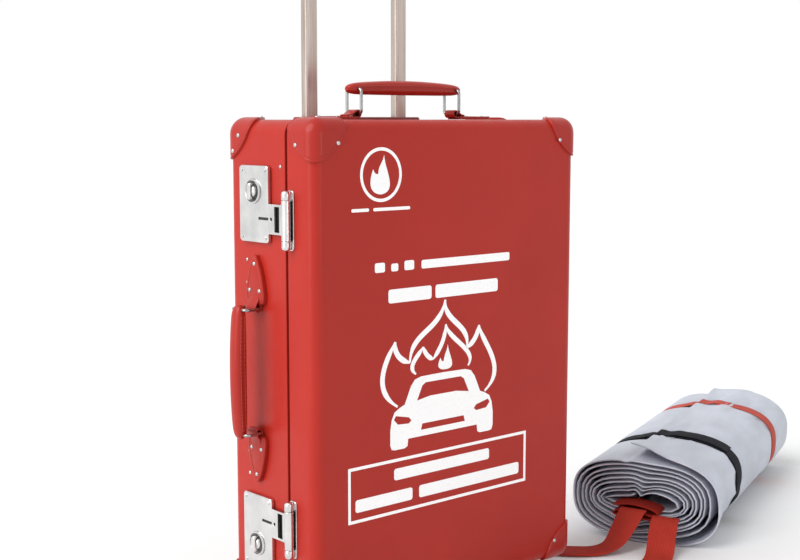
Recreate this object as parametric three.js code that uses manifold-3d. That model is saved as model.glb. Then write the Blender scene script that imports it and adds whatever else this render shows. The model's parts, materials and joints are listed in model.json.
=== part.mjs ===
// A vehicle fire blanket with its trolley case: a riveted fibreboard case on two wheels, with a
// telescopic handle, two carry handles and two lever locks, and beside it the blanket that it
// stores, folded, rolled and held by two bands. Millimetres, +Z up, case front facing -Y,
// origin on the floor in the middle of the whole set.
import * as THREE from 'three';
import { mergeVertices } from 'three/addons/utils/BufferGeometryUtils.js';
import Module from 'manifold-3d';

const wasm = await Module();
wasm.setup();

// ---------- driving dimensions ----------
const GAP = 0.3;                      // clearance between pieces that touch
const WIDTH = 400;                    // case body along X
const DEPTH = 152;                    // case body along Y
const HEIGHT = 540;                   // case body along Z
const FOOT = 20;                      // floor to case body
const TOP = FOOT + HEIGHT;
const MIDDLE = WIDTH / 2;
const WALL = 3;                       // fibreboard thickness
const EDGE = 13;                      // rounding of the front and back edges
const CORNER = 16;                    // rounding of the corners seen from the front
const SEAM = 46;                      // lid depth, where the case splits
const GROOVE = 4;                     // open groove between the two shells
const RIM = 8;                        // wooden rim thickness
const PADDING = 5.5;                  // from the wall to the lining's back
const LINING = 1.5;
const CAP_REACH = 46;                 // how far a corner cap runs along each edge
const CAP_THICK = 2.2;
const HARDWARE_Y = 98;                // centre line of the locks and the side handle
const LOCK_DROP = 89.5;               // case end to the middle of a lock plate
const HASP_SHIFT = 15;                // hasp sits this much nearer the side handle
const TUBE_SPREAD = 69;               // telescopic tubes either side of the middle
const TUBE_Y = 175.5;
const TRAVEL = 198;                   // travel of each telescopic stage
const WHEEL_R = 25;
const WHEEL_X = 75;                   // wheel and foot distance from each side
const WHEEL_Y = 183;
const HINGE_X = WIDTH + 4.5;          // lid hinge axis
const ROLL = { length: 510, width: 200, height: 118, x: 547, y: 8, turn: 22 };

// ---------- materials ----------
const material = (color, roughness, metalness = 0) =>
  new THREE.MeshStandardMaterial({ color, roughness, metalness });
const fibre = material(0xc03a30, 0.42);
const capLeather = material(0xb5362b, 0.38);
const rimBoard = material(0x5c1f1a, 0.7);
const liningCloth = material(0x2b2628, 0.95);
const handleLeather = material(0xa52a20, 0.4);
const chrome = material(0xd8d7d6, 0.16, 1);
const anodised = material(0xb9a79c, 0.34, 1);
const redPlastic = material(0x7e1d18, 0.5);
const blackPlastic = material(0x1d1d1f, 0.5);
const tyreRubber = material(0x17171a, 0.85);
const silverCloth = material(0xc9cdd3, 0.5);
const blackWebbing = material(0x20222a, 0.9);
const redWebbing = material(0xb4352c, 0.85);

// ---------- solids ----------
const root = new THREE.Group();

function toSolid(geometry) {
  const bare = geometry.index ? geometry.toNonIndexed() : geometry.clone();
  bare.deleteAttribute('normal');
  bare.deleteAttribute('uv');
  const merged = mergeVertices(bare, 1e-4);
  return new wasm.Manifold(new wasm.Mesh({
    numProp: 3,
    vertProperties: merged.attributes.position.array,
    triVerts: new Uint32Array(merged.index.array),
  }));
}

function toGeometry(solid) {
  const mesh = solid.getMesh();
  const geometry = new THREE.BufferGeometry();
  geometry.setAttribute('position', new THREE.BufferAttribute(mesh.vertProperties, 3));
  geometry.setIndex(new THREE.BufferAttribute(mesh.triVerts, 1));
  return geometry;
}

const join = (...parts) => toGeometry(parts.map(toSolid).reduce((a, b) => a.add(b)));
const cut = (body, ...tools) => toGeometry(tools.map(toSolid).reduce((a, b) => a.subtract(b), toSolid(body)));
const common = (a, b) => toGeometry(toSolid(a).intersect(toSolid(b)));

function addPiece(name, geometry, look, parent = root) {
  const shaded = geometry.index ? geometry.toNonIndexed() : geometry;
  shaded.computeVertexNormals();
  const mesh = new THREE.Mesh(shaded, look);
  mesh.name = name;
  parent.add(mesh);
}

// A group whose local x, y and z run along the given directions.
function frameAt(origin, xAxis, yAxis, zAxis) {
  const group = new THREE.Group();
  const toVector = (axis) => new THREE.Vector3(...axis);
  group.setRotationFromMatrix(new THREE.Matrix4().makeBasis(...[xAxis, yAxis, zAxis].map(toVector)));
  group.position.set(...origin);
  root.add(group);
  return group;
}
const onLeftSide = (y, z) => frameAt([0, y, z], [0, -1, 0], [0, 0, 1], [-1, 0, 0]);
const onTop = (x, y) => frameAt([x, y, TOP], [1, 0, 0], [0, 1, 0], [0, 0, 1]);

function box(x0, x1, y0, y1, z0, z1) {
  const shape = new THREE.BoxGeometry(x1 - x0, y1 - y0, z1 - z0);
  return shape.translate((x0 + x1) / 2, (y0 + y1) / 2, (z0 + z1) / 2);
}

// A cylinder of radius r from one end to the other along an axis; the other two coordinates place it.
function rod(axis, r, from, to, a, b, sides = 20) {
  const shape = new THREE.CylinderGeometry(r, r, to - from, sides);
  const middle = (from + to) / 2;
  if (axis === 'x') return shape.rotateZ(Math.PI / 2).translate(middle, a, b);
  if (axis === 'y') return shape.translate(a, middle, b);
  return shape.rotateX(Math.PI / 2).translate(a, b, middle);
}

function roundedRect(width, height, radius) {
  const [x, y] = [width / 2, height / 2];
  const shape = new THREE.Shape();
  shape.moveTo(x - radius, -y);
  shape.absarc(x - radius, -y + radius, radius, -Math.PI / 2, 0);
  shape.absarc(x - radius, y - radius, radius, 0, Math.PI / 2);
  shape.absarc(-x + radius, y - radius, radius, Math.PI / 2, Math.PI);
  shape.absarc(-x + radius, -y + radius, radius, Math.PI, 1.5 * Math.PI);
  return shape;
}

// A plate of the given outline from z = low up, its upper and lower edges eased by a bevel.
function plate(outline, low, thickness, bevel = 0, curveSegments = 3) {
  const shape = new THREE.ExtrudeGeometry(outline, {
    depth: thickness - 2 * bevel, curveSegments, bevelEnabled: bevel > 0,
    bevelThickness: bevel, bevelSize: bevel, bevelOffset: -bevel, bevelSegments: 1,
  });
  return shape.translate(0, 0, low + bevel);
}

// The case's outer form grown or shrunk by an offset, in the case's own place.
function caseForm(offset) {
  const [width, height, depth] = [WIDTH, HEIGHT, DEPTH].map((size) => size + 2 * offset);
  const edge = EDGE + offset;
  const outline = roundedRect(width - 2 * edge, height - 2 * edge, CORNER - EDGE);
  const shape = new THREE.ExtrudeGeometry(outline, {
    depth: depth - 2 * edge, curveSegments: 3, bevelSize: edge, bevelThickness: edge, bevelSegments: 3,
  });
  shape.rotateX(Math.PI / 2);
  return shape.translate(MIDDLE, depth - offset - edge, FOOT + HEIGHT / 2);
}

const slab = (y0, y1) => box(-50, WIDTH + 50, y0, y1, -50, TOP + 50);

// A ring of points joined to the next ring, and closed at both ends.
function loft(rings) {
  const sides = rings[0].length;
  const positions = rings.flat().flatMap((point) => [point.x, point.y, point.z]);
  const triangles = [];
  for (let i = 0; i < rings.length - 1; i += 1) {
    for (let j = 0; j < sides; j += 1) {
      const [a, b] = [i * sides + j, i * sides + ((j + 1) % sides)];
      triangles.push(a, b, b + sides, a, b + sides, a + sides);
    }
  }
  const last = (rings.length - 1) * sides;
  for (let j = 1; j < sides - 1; j += 1) {
    triangles.push(0, j + 1, j, last, last + j, last + j + 1);
  }
  const geometry = new THREE.BufferGeometry();
  geometry.setAttribute('position', new THREE.Float32BufferAttribute(positions, 3));
  geometry.setIndex(triangles);
  return geometry;
}

// A rounded oblong section, wide along y and high along z, square to x.
function oblong(x, centre, width, height, sides, power = 2) {
  const ring = [];
  for (let j = 0; j < sides; j += 1) {
    const turn = (2 * Math.PI * (j + 0.5)) / sides;
    const [c, s] = [Math.cos(turn), Math.sin(turn)];
    const y = (width / 2) * Math.sign(c) * Math.abs(c) ** (2 / power);
    const z = centre + (height / 2) * Math.sign(s) * Math.abs(s) ** (2 / power);
    ring.push(new THREE.Vector3(x, y, z));
  }
  return ring;
}

// ---------- case halves ----------
function caseHalves() {
  const outer = caseForm(0);
  const shell = cut(outer, caseForm(-WALL));
  addPiece('lid_shell', common(shell, slab(-20, SEAM - GROOVE / 2)), fibre);
  addPiece('base_shell', common(shell, slab(SEAM + GROOVE / 2, DEPTH + 20)), fibre);

  const rimForm = caseForm(-WALL - GAP);
  const rimHole = box(WALL + RIM, WIDTH - WALL - RIM, -20, DEPTH + 20, FOOT + WALL + RIM, TOP - WALL - RIM);
  const rim = cut(rimForm, rimHole);
  addPiece('lid_rim', common(rim, slab(SEAM - 16, SEAM - GAP / 2)), rimBoard);
  addPiece('base_rim', common(rim, slab(SEAM + GAP / 2, SEAM + 16)), rimBoard);

  const tray = (inset) => box(inset, WIDTH - inset, inset, DEPTH - inset, FOOT + inset, TOP - inset);
  const lining = cut(tray(WALL + PADDING), tray(WALL + PADDING + LINING));
  addPiece('lid_lining', common(lining, slab(-20, SEAM - 16 - GAP)), liningCloth);
  addPiece('base_lining', common(lining, slab(SEAM + 16 + GAP, DEPTH + 20)), liningCloth);
}

// ---------- corner caps ----------
function cornerCaps() {
  const skin = cut(caseForm(GAP + CAP_THICK), caseForm(GAP));
  const reach = 20;                   // how far outside the corner the trimming sphere is centred
  const radius = Math.hypot(CAP_REACH + reach, reach, reach);
  for (const side of ['left', 'right']) {
    for (const end of ['bottom', 'top']) {
      for (const half of ['lid', 'base']) {
        const [sx, sy, sz] = [side === 'left' ? -1 : 1, half === 'lid' ? -1 : 1, end === 'top' ? 1 : -1];
        const corner = [
          MIDDLE + (sx * WIDTH) / 2,
          DEPTH / 2 + (sy * DEPTH) / 2,
          FOOT + HEIGHT / 2 + (sz * HEIGHT) / 2,
        ];
        const ball = new THREE.SphereGeometry(radius, 24, 14);
        ball.translate(corner[0] + sx * reach, corner[1] + sy * reach, corner[2] + sz * reach);
        const keep = half === 'lid' ? slab(-20, SEAM - GROOVE / 2) : slab(SEAM + GROOVE / 2, DEPTH + 20);
        const [inX, inY, inZ] = [corner[0] - sx * 27, corner[1] - sy * 25, corner[2] - sz * 24];
        const proud = GAP + CAP_THICK + 0.9;
        const [x0, x1] = sx < 0 ? [corner[0] - proud, corner[0] - 0.8] : [corner[0] + 0.8, corner[0] + proud];
        const [y0, y1] = sy < 0 ? [corner[1] - proud, corner[1] - 0.8] : [corner[1] + 0.8, corner[1] + proud];
        const [z0, z1] = sz < 0 ? [corner[2] - proud, corner[2] - 0.8] : [corner[2] + 0.8, corner[2] + proud];
        const cap = join(
          common(common(skin, ball), keep),
          rod('x', 2.6, x0, x1, inY, inZ, 8),
          rod('y', 2.6, y0, y1, inX, inZ, 8),
          rod('z', 2.6, z0, z1, inX, inY, 8),
        );
        addPiece(`corner_cap_${half}_${side}_${end}`, cap, capLeather);
      }
    }
  }
}

// ---------- locks ----------
// Local x points to the case front, y up, z out of the side. The hasp's T bar is on the lid.
function lock(name, z, up) {
  const side = onLeftSide(HARDWARE_Y, z);
  const face = 5.3;
  const plateWidth = 52;
  const haspY = -HASP_SHIFT * up;
  const knobY = 13.5 * up;
  const pinX = HARDWARE_Y - 37.5;
  const pinZ = 6.8;

  const rivets = [-1, 1].flatMap((a) => [-1, 1].map((b) => rod('z', 2, face - 0.5, face + 0.8, a * 21, b * 36, 6)));
  const lockPlate = cut(
    join(plate(roundedRect(plateWidth, 82, 4), GAP, face - GAP, 0.9), ...rivets),
    rod('z', 4.4, 1.5, face + 1, 0, knobY, 12),
    box(9, plateWidth, haspY - 1.5, haspY + 1.5, face - 2, face + 1),
  );
  addPiece(`lock_plate_${name}`, lockPlate, chrome, side);

  const knob = join(
    rod('z', 13.5, face + GAP, face + 2.6, 0, 0, 20),
    plate(roundedRect(7, 19, 3.4), face + 2, 6.6, 1),
    rod('z', 4, 2, face + 1, 0, 0, 12),
  );
  addPiece(`lock_knob_${name}`, knob.translate(0, knobY, 0), chrome, side);

  const barrelHalf = 21;
  const armEnd = plateWidth / 2 + 0.8;
  const arm = new THREE.Shape();
  arm.moveTo(armEnd, -16);
  arm.lineTo(pinX - 13, -16);
  arm.absarc(pinX - 13, -barrelHalf, 5, Math.PI / 2, 0, true);
  arm.lineTo(pinX, -barrelHalf);
  arm.lineTo(pinX, barrelHalf);
  arm.lineTo(pinX - 8, barrelHalf);
  arm.absarc(pinX - 13, barrelHalf, 5, 0, -Math.PI / 2, true);
  arm.lineTo(armEnd, 16);
  const hasp = cut(
    join(plate(arm, face - 3, 3), rod('y', 5, -barrelHalf, barrelHalf, pinX, pinZ, 16)),
    rod('y', 2.5, -40, 40, pinX, pinZ, 12),
    box(armEnd + 10.5, armEnd + 19.5, -13.5, 13.5, 0, face + 1),
    rod('z', 1.9, 0, face + 1, armEnd + 4.8, 0, 10),
  );
  addPiece(`hasp_${name}`, hasp.translate(0, haspY, 0), chrome, side);

  const knuckles = [-1, 1].flatMap((end) => {
    const [low, high] = end < 0 ? [-31.5, -barrelHalf - 0.4] : [barrelHalf + 0.4, 31.5];
    const web = box(pinX - 4, pinX + 4, low, high, 1, pinZ);
    return [rod('y', 5, low, high, pinX, pinZ, 16), web];
  });
  const bracket = join(
    plate(roundedRect(12, 63, 4), GAP, 1.1).translate(pinX, 0, 0),
    rod('y', 2, -30, 30, pinX, pinZ, 12),
    ...knuckles,
  );
  addPiece(`hasp_bracket_${name}`, bracket.translate(0, haspY, 0), chrome, side);
}

// ---------- carry handles ----------
// Local x runs along the handle, y across it, z away from the case.
function carryHandle(name, frame, { half, rise, overhang, tabOutline, tabThick, ends }) {
  const wire = 1.8;
  const barZ = 6.5;
  const ringHalf = 12.5;
  const gripZ = barZ + rise;

  const rings = [];
  const gripHalf = half + overhang;
  for (let i = 0; i <= 10; i += 1) {
    const x = gripHalf * (-1 + i / 5);
    const fullness = Math.sqrt(Math.max(0, 1 - (x / (gripHalf + 1)) ** 8));
    const bow = 1 - (x / gripHalf) ** 2;
    rings.push(oblong(x, gripZ + 3 * bow, (17 + bow) * fullness, (11.5 + 4.5 * bow) * fullness, 12));
  }
  const holes = [-half, half].map((x) => rod('y', wire + 0.6, -20, 20, x, gripZ, 10));
  addPiece(`${name}_handle_grip`, cut(loft(rings), ...holes), handleLeather, frame);

  for (const [end, sign] of [[ends[0], -1], [ends[1], 1]]) {
    const bevel = 1.1;
    const outline = roundedRect(2 * (ringHalf + wire), rise + 2 * wire, 4);
    outline.holes.push(roundedRect(2 * (ringHalf - wire), rise - 2 * wire, 1.5));
    const ring = plate(outline, -wire, 2 * wire, bevel, 1);
    ring.rotateX(Math.PI / 2).rotateZ(Math.PI / 2).translate(sign * half, 0, barZ + rise / 2);
    addPiece(`${name}_handle_ring_${end}`, ring, chrome, frame);

    const flat = plate(tabOutline, GAP, tabThick, Math.min(1.2, tabThick / 3), 4);
    const eye = cut(
      plate(roundedRect(13, barZ + 4.2, 3), -9, 18).rotateX(Math.PI / 2).translate(1.5, 0, (barZ + 4.2) / 2 + GAP),
      rod('y', wire + 0.6, -20, 20, 0, barZ, 10),
    );
    const tab = join(flat, eye);
    if (sign < 0) tab.rotateZ(Math.PI);
    addPiece(`${name}_handle_tab_${end}`, tab.translate(sign * half, 0, 0), handleLeather, frame);
  }
}

function teardropTab() {
  const shape = new THREE.Shape();
  shape.moveTo(5, -14);
  shape.quadraticCurveTo(9, -16.5, 14, -16.5);
  shape.quadraticCurveTo(42, -13, 56, -2.5);
  shape.quadraticCurveTo(58.5, 0, 56, 2.5);
  shape.quadraticCurveTo(42, 13, 14, 16.5);
  shape.quadraticCurveTo(9, 16.5, 5, 14);
  return shape;
}

function taperedStrap() {
  const shape = new THREE.Shape();
  shape.moveTo(4, -10.5);
  shape.lineTo(52, -8);
  shape.quadraticCurveTo(62, -6.5, 62, 0);
  shape.quadraticCurveTo(62, 6.5, 52, 8);
  shape.lineTo(4, 10.5);
  return shape;
}

// ---------- lid hinges ----------
function lidHinge(name, z) {
  const [half, knuckle, radius] = [26, 9, 3.2];
  const [low, high] = [WIDTH + GAP, WIDTH + 1.8];
  const baseParts = [box(low, high, SEAM + 3.8, SEAM + 24, z - half, z + half)];
  const pin = rod('z', 1.5, z - half + 1, z + half - 1, HINGE_X, SEAM, 10);
  for (const [a, b] of [[z - half, z - knuckle], [z + knuckle, z + half]]) {
    baseParts.push(rod('z', radius, a, b, HINGE_X, SEAM, 14), box(low, high + 1.5, SEAM, SEAM + 4, a, b));
  }
  addPiece(`hinge_leaf_base_${name}`, join(...baseParts, pin), chrome);

  const inner = knuckle - 0.4;
  const lidLeaf = cut(
    join(
      box(low, high, SEAM - 24, SEAM - 3.8, z - half, z + half),
      rod('z', radius, z - inner, z + inner, HINGE_X, SEAM, 14),
      box(low, high + 1.5, SEAM - 4, SEAM, z - inner, z + inner),
    ),
    rod('z', 1.9, z - half, z + half, HINGE_X, SEAM, 12),
  );
  addPiece(`hinge_leaf_lid_${name}`, lidLeaf, chrome);
}

// ---------- telescopic handle ----------
function rectTube(width, depth, wall, low, high, x) {
  const outline = roundedRect(width, depth, 2.6);
  outline.holes.push(roundedRect(width - 2 * wall, depth - 2 * wall, 2.6 - wall / 2));
  return plate(outline, low, high - low, 0, 2).translate(x, TUBE_Y, 0);
}
const slot = (width, depth, low, high, x) =>
  plate(roundedRect(width, depth, 2.6), low, high - low, 0, 2).translate(x, TUBE_Y, 0);

function trolleyHandle() {
  const guideTop = TOP - 4;
  const bracketTop = TOP + 3;
  const collar = 8;
  const stage1Top = bracketTop + TRAVEL + collar;
  const gripLow = stage1Top + TRAVEL;
  const tubes = [['left', MIDDLE - TUBE_SPREAD], ['right', MIDDLE + TUBE_SPREAD]];
  const [bracketLow, bracketHigh] = [MIDDLE - TUBE_SPREAD - 17, MIDDLE + TUBE_SPREAD + 17];
  const [front, back] = [DEPTH + GAP, TUBE_Y + 13];

  for (const [side, x] of tubes) {
    addPiece(`guide_tube_${side}`, rectTube(21, 15.6, 1.55, 70, guideTop, x), anodised);
    const stage1 = join(
      rectTube(17.1, 11.6, 1.1, TOP - 60, stage1Top, x),
      rectTube(19.6, 14.1, 2.4, stage1Top - collar, stage1Top, x),
    );
    addPiece(`stage1_tube_${side}`, stage1, anodised);
    addPiece(`stage2_tube_${side}`, rectTube(14.1, 8.6, 1.1, stage1Top - 60, gripLow, x), anodised);
  }

  const topHoles = tubes.flatMap(([, x]) => [
    slot(21.6, 16.2, TOP - 60, guideTop + GAP, x),
    slot(18, 12.5, TOP - 60, bracketTop + 10, x),
  ]);
  const blockOutline = roundedRect(bracketHigh - bracketLow, back - front, 5);
  const topBlock = plate(blockOutline, TOP - 34, bracketTop - TOP + 34, 1.5, 2);
  topBlock.translate(MIDDLE, (front + back) / 2, 0);
  addPiece('trolley_top_bracket', cut(topBlock, ...topHoles), redPlastic);

  const lowBlock = plate(blockOutline, 48, 46, 1.5, 2);
  lowBlock.translate(MIDDLE, (front + back) / 2, 0);
  const lowHoles = tubes.map(([, x]) => slot(21.6, 16.2, 70 - GAP, 120, x));
  addPiece('trolley_bottom_bracket', cut(lowBlock, ...lowHoles), redPlastic);

  const [pocketX, pocketY] = [14.5, 8.5];
  const bar = plate(roundedRect(2 * TUBE_SPREAD + 34, 30, 9), 0, 26, 4, 2);
  const grip = cut(
    bar.rotateX(Math.PI / 2).translate(MIDDLE, TUBE_Y + 13, gripLow + GAP + 15),
    box(MIDDLE - pocketX, MIDDLE + pocketX, TUBE_Y - pocketY, TUBE_Y + pocketY, gripLow + 20, gripLow + 40),
  );
  addPiece('trolley_grip', grip, blackPlastic);
  const button = plate(roundedRect(28, 16, 5), gripLow + 25, 9.5, 1.5).translate(MIDDLE, TUBE_Y, 0);
  addPiece('trolley_release_button', button, blackPlastic);
}

// ---------- wheels and feet ----------
function rollingGear() {
  for (const [side, x] of [['left', WHEEL_X], ['right', WIDTH - WHEEL_X]]) {
    const profile = new THREE.Shape();
    profile.moveTo(DEPTH + GAP, 12);
    profile.lineTo(176, 12);
    profile.quadraticCurveTo(197, 14, 198, 34);
    profile.quadraticCurveTo(198, 58, 172, 70);
    profile.lineTo(166, 86);
    profile.lineTo(DEPTH + GAP, 86);
    const block = plate(profile, 0, 34, 0, 5);
    block.rotateZ(Math.PI / 2).rotateY(Math.PI / 2).translate(x - 17, 0, 0);
    const housing = cut(
      block,
      box(x - 10.4, x + 10.4, DEPTH + 4.5, 230, -5, WHEEL_R * 2 + 3),
      rod('x', 4.3, x - 30, x + 30, WHEEL_Y, WHEEL_R, 16),
    );
    addPiece(`wheel_housing_${side}`, housing, blackPlastic);
    addPiece(`wheel_axle_${side}`, rod('x', 4, x - 16.5, x + 16.5, WHEEL_Y, WHEEL_R, 16), chrome);

    const wheelProfile = [[4.5, -9], [8, -9], [8, -7], [19, -7], [20, -9], [WHEEL_R, -6],
      [WHEEL_R, 6], [20, 9], [19, 7], [8, 7], [8, 9], [4.5, 9], [4.5, -9]];
    const wheel = new THREE.LatheGeometry(wheelProfile.map(([r, h]) => new THREE.Vector2(r, h)), 24);
    addPiece(`wheel_${side}`, wheel.rotateZ(Math.PI / 2).translate(x, WHEEL_Y, WHEEL_R), tyreRubber);

    const footProfile = [[0, 0], [9.5, 0], [13, FOOT - GAP - 3], [13, FOOT - GAP], [0, FOOT - GAP]];
    const foot = new THREE.LatheGeometry(footProfile.map(([r, h]) => new THREE.Vector2(r, h)), 16);
    addPiece(`foot_${side}`, foot.rotateX(Math.PI / 2).translate(x, 62, 0), blackPlastic);
  }
}

// ---------- blanket ----------
// Local x runs along the roll from its near end, y across it, z up from the floor.
function blanketRoll() {
  const bands = [
    { name: 'band_black', at: 155, width: 30, look: blackWebbing },
    { name: 'band_red', at: 395, width: 25, look: redWebbing },
  ];
  const sides = 20;
  const power = 2.7;
  const pinch = 2.4;

  // Sections: [distance along, how much the outline draws in]
  const sections = [[0, 9], [3, 4], [9, 0]];
  for (const band of bands) {
    sections.push([band.at - band.width / 2 - 12, 0], [band.at - band.width / 2 - 1, pinch]);
    sections.push([band.at + band.width / 2 + 1, pinch], [band.at + band.width / 2 + 12, 0]);
  }
  sections.push([ROLL.length - 9, 0], [ROLL.length - 3, 4], [ROLL.length, 9]);
  const ringAt = (x, inset) =>
    oblong(x, ROLL.height / 2, ROLL.width - 2 * inset, ROLL.height - 2 * inset, sides, power);
  const lowest = Math.min(...ringAt(0, 0).map((point) => point.z));

  const turn = THREE.MathUtils.degToRad(ROLL.turn);
  const [c, s] = [Math.cos(turn), Math.sin(turn)];
  const frame = frameAt([ROLL.x, ROLL.y, -lowest], [c, s, 0], [-s, c, 0], [0, 0, 1]);
  addPiece('blanket_roll', loft(sections.map(([x, inset]) => ringAt(x, inset))), silverCloth, frame);

  for (const band of bands) {
    const [low, high] = [band.at - band.width / 2, band.at + band.width / 2];
    const outside = loft([ringAt(low, pinch - 1.9), ringAt(high, pinch - 1.9)]);
    const inside = loft([ringAt(low - 5, pinch - GAP), ringAt(high + 5, pinch - GAP)]);
    addPiece(band.name, cut(outside, inside), band.look, frame);
  }
  return frame;
}

// Two webbing straps leave the middle of the roll's near end, drop to the floor and lie there.
function pullStraps(frame) {
  const straps = [
    ['pull_strap_left', [[-4, 6, 47], [-13, 7, 44.5], [-31, 11, 30], [-48, 20, 11], [-61, 36, 3], [-75, 60, 2.4],
      [-83, 88, 2.4], [-84, 116, 2.4], [-76, 143, 2.4], [-60, 166, 2.4], [-38, 184, 2.4]]],
    ['pull_strap_right', [[-3, -38, 41], [-12, -38, 38.5], [-31, -40, 23], [-50, -43, 7], [-70, -44, 2.4],
      [-98, -41, 2.4], [-127, -32, 2.4], [-155, -19, 2.4], [-181, -3, 2.4], [-205, 14, 2.4]]],
  ];
  for (const [name, points] of straps) {
    addPiece(name, ribbon(points, 36, 2.4), redWebbing, frame);
  }
}

// A flat webbing strap whose width stays level as it follows the points.
function ribbon(points, width, thickness) {
  const curve = new THREE.CatmullRomCurve3(points.map((point) => new THREE.Vector3(...point)));
  const steps = 28;
  const rings = [];
  for (let i = 0; i <= steps; i += 1) {
    const centre = curve.getPointAt(i / steps);
    const along = curve.getTangentAt(i / steps);
    const across = new THREE.Vector3(0, 0, 1).cross(along).normalize();
    const outward = along.clone().cross(across);
    rings.push([[1, 1], [-1, 1], [-1, -1], [1, -1]].map(([a, b]) =>
      centre.clone().addScaledVector(across, (a * width) / 2).addScaledVector(outward, (b * thickness) / 2)));
  }
  return loft(rings);
}

// ---------- assembly ----------
caseHalves();
cornerCaps();
lock('upper', TOP - LOCK_DROP, 1);
lock('lower', FOOT + LOCK_DROP, -1);
const sideFrame = frameAt([0, HARDWARE_Y, FOOT + HEIGHT / 2], [0, 0, 1], [0, 1, 0], [-1, 0, 0]);
carryHandle('side', sideFrame, {
  half: 68, rise: 19.5, overhang: 5, tabOutline: teardropTab(), tabThick: 5, ends: ['lower', 'upper'],
});
carryHandle('top', onTop(MIDDLE, 86), {
  half: 75, rise: 27.5, overhang: 11, tabOutline: taperedStrap(), tabThick: 3, ends: ['left', 'right'],
});
lidHinge('upper', TOP - 115);
lidHinge('lower', FOOT + 115);
trolleyHandle();
rollingGear();
const rollFrame = blanketRoll();

// The origin is the middle of the footprint of everything but the loose straps, on the floor.
const extent = new THREE.Box3().setFromObject(root, true);
const centre = extent.getCenter(new THREE.Vector3());
pullStraps(rollFrame);
root.position.set(-centre.x, -centre.y, -extent.min.z);
root.updateMatrixWorld(true);

export default root;
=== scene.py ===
# The looks of a vehicle fire blanket and its trolley case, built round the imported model.
# Lengths in the shape functions are millimetres in the case's own place: x runs along the case from its
# lock side, y back from its front, z up from the floor. to_row() turns them into the row's metres.
import json
import math
import random

import bmesh
import bpy
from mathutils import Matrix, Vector

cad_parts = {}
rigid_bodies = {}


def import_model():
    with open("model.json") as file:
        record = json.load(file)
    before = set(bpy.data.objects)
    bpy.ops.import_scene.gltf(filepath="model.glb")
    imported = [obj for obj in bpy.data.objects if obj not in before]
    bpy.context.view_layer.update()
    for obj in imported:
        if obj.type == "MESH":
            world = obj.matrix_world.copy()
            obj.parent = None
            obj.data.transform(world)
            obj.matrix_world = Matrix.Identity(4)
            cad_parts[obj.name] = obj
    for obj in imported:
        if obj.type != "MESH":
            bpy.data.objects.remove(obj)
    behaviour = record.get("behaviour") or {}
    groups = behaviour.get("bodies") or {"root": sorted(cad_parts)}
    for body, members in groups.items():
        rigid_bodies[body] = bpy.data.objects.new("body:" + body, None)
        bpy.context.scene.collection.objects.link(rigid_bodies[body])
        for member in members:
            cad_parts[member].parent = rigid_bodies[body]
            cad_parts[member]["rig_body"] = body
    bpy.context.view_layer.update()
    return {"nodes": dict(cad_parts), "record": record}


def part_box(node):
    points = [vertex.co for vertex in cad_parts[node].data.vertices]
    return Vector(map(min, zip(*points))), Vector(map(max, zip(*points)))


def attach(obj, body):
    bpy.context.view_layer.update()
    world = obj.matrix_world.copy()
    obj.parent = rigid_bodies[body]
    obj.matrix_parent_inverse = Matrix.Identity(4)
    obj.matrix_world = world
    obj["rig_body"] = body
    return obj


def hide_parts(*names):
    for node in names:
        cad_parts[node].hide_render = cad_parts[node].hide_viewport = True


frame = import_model()

# ---------- driving dimensions ----------
MM = 0.001
lid_low, lid_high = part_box("lid_shell")
base_low, base_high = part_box("base_shell")
WIDTH = (lid_high.x - lid_low.x) / MM
DEPTH = (base_high.y - lid_low.y) / MM
FOOT = lid_low.z / MM
TOP = lid_high.z / MM
MIDDLE_X = WIDTH / 2
MIDDLE_Z = (FOOT + TOP) / 2
LID_LIP = (lid_high.y - lid_low.y) / MM           # where the lid's shell ends at the seam
BASE_LIP = (base_low.y - lid_low.y) / MM
EDGE = 13                                         # rounding of the front and back edges
CORNER = 16                                       # rounding of the corners seen from the front
WALL = 3
LINING_DEPTH = 8.6                                # from the case's outside to the lining's face
LINING_GAP = 16.5                                 # from the seam's middle to each lining, past the rims
HARDWARE_Y = 98                                   # centre line of the locks and the side handle
LOCK_INSET = 89.5                                 # lock plates' middles below the top and above the foot
HASP_DROP, KNOB_RISE = 15, 13.5                   # hasp and knob either side of a lock plate's middle
HASP_PIN = 60.5                                   # from a lock plate's middle to its hasp's bar
HINGE_INSET = 115
TOP_HANDLE_Y = 86
CAP_REACH = 46
CAP_RISE = 2.5
GRIP_ARCH = 1.8                                   # how far a grip's middle stands above its ends
WHEEL_X, WHEEL_Y, WHEEL_RADIUS = 75, 183, 25      # wheels and feet stand this far in from each side
FOOT_Y = 62
TREAD = 36                                        # grooves round a tyre
HINGE_Y = 46                                      # the seam, where the lid's hinges turn

ROLL_X, ROLL_Y, ROLL_TURN = 547, 8, math.radians(22)
ROLL_LENGTH, ROLL_WIDTH, ROLL_HEIGHT = 510, 200, 117
BLACK_BAND, RED_BAND = 155, 395                   # distances of the bands from the near end
FLAP = math.radians(72)                           # where the cloth's outer edge lies round the roll
FAR_SWELL = 430                                   # from here the cloth flares out towards its far end
RED_FOLD = 0.68                                   # how far round from the flap the red band's tuck lies
TURNS = 9
LAYER = 5.4                                       # how much each turn of cloth draws in
CLOTH = 2.3                                       # thickness of one turn of folded cloth
SKY = 0.72                                        # how strongly the white sky lights the set


def to_row(point):
    return Vector((lid_low.x + point[0] * MM, lid_low.y + point[1] * MM, point[2] * MM))


# ---------- places ----------
class Place:
    """A local frame: where its origin is, and which way its x, y and z run."""

    def __init__(self, origin, x_axis=(1, 0, 0), y_axis=(0, 1, 0), z_axis=(0, 0, 1)):
        self.origin = Vector(origin)
        self.axes = [Vector(axis) for axis in (x_axis, y_axis, z_axis)]

    def __call__(self, point):
        moved = self.origin.copy()
        for value, axis in zip(point, self.axes):
            moved += axis * value
        return moved


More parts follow.
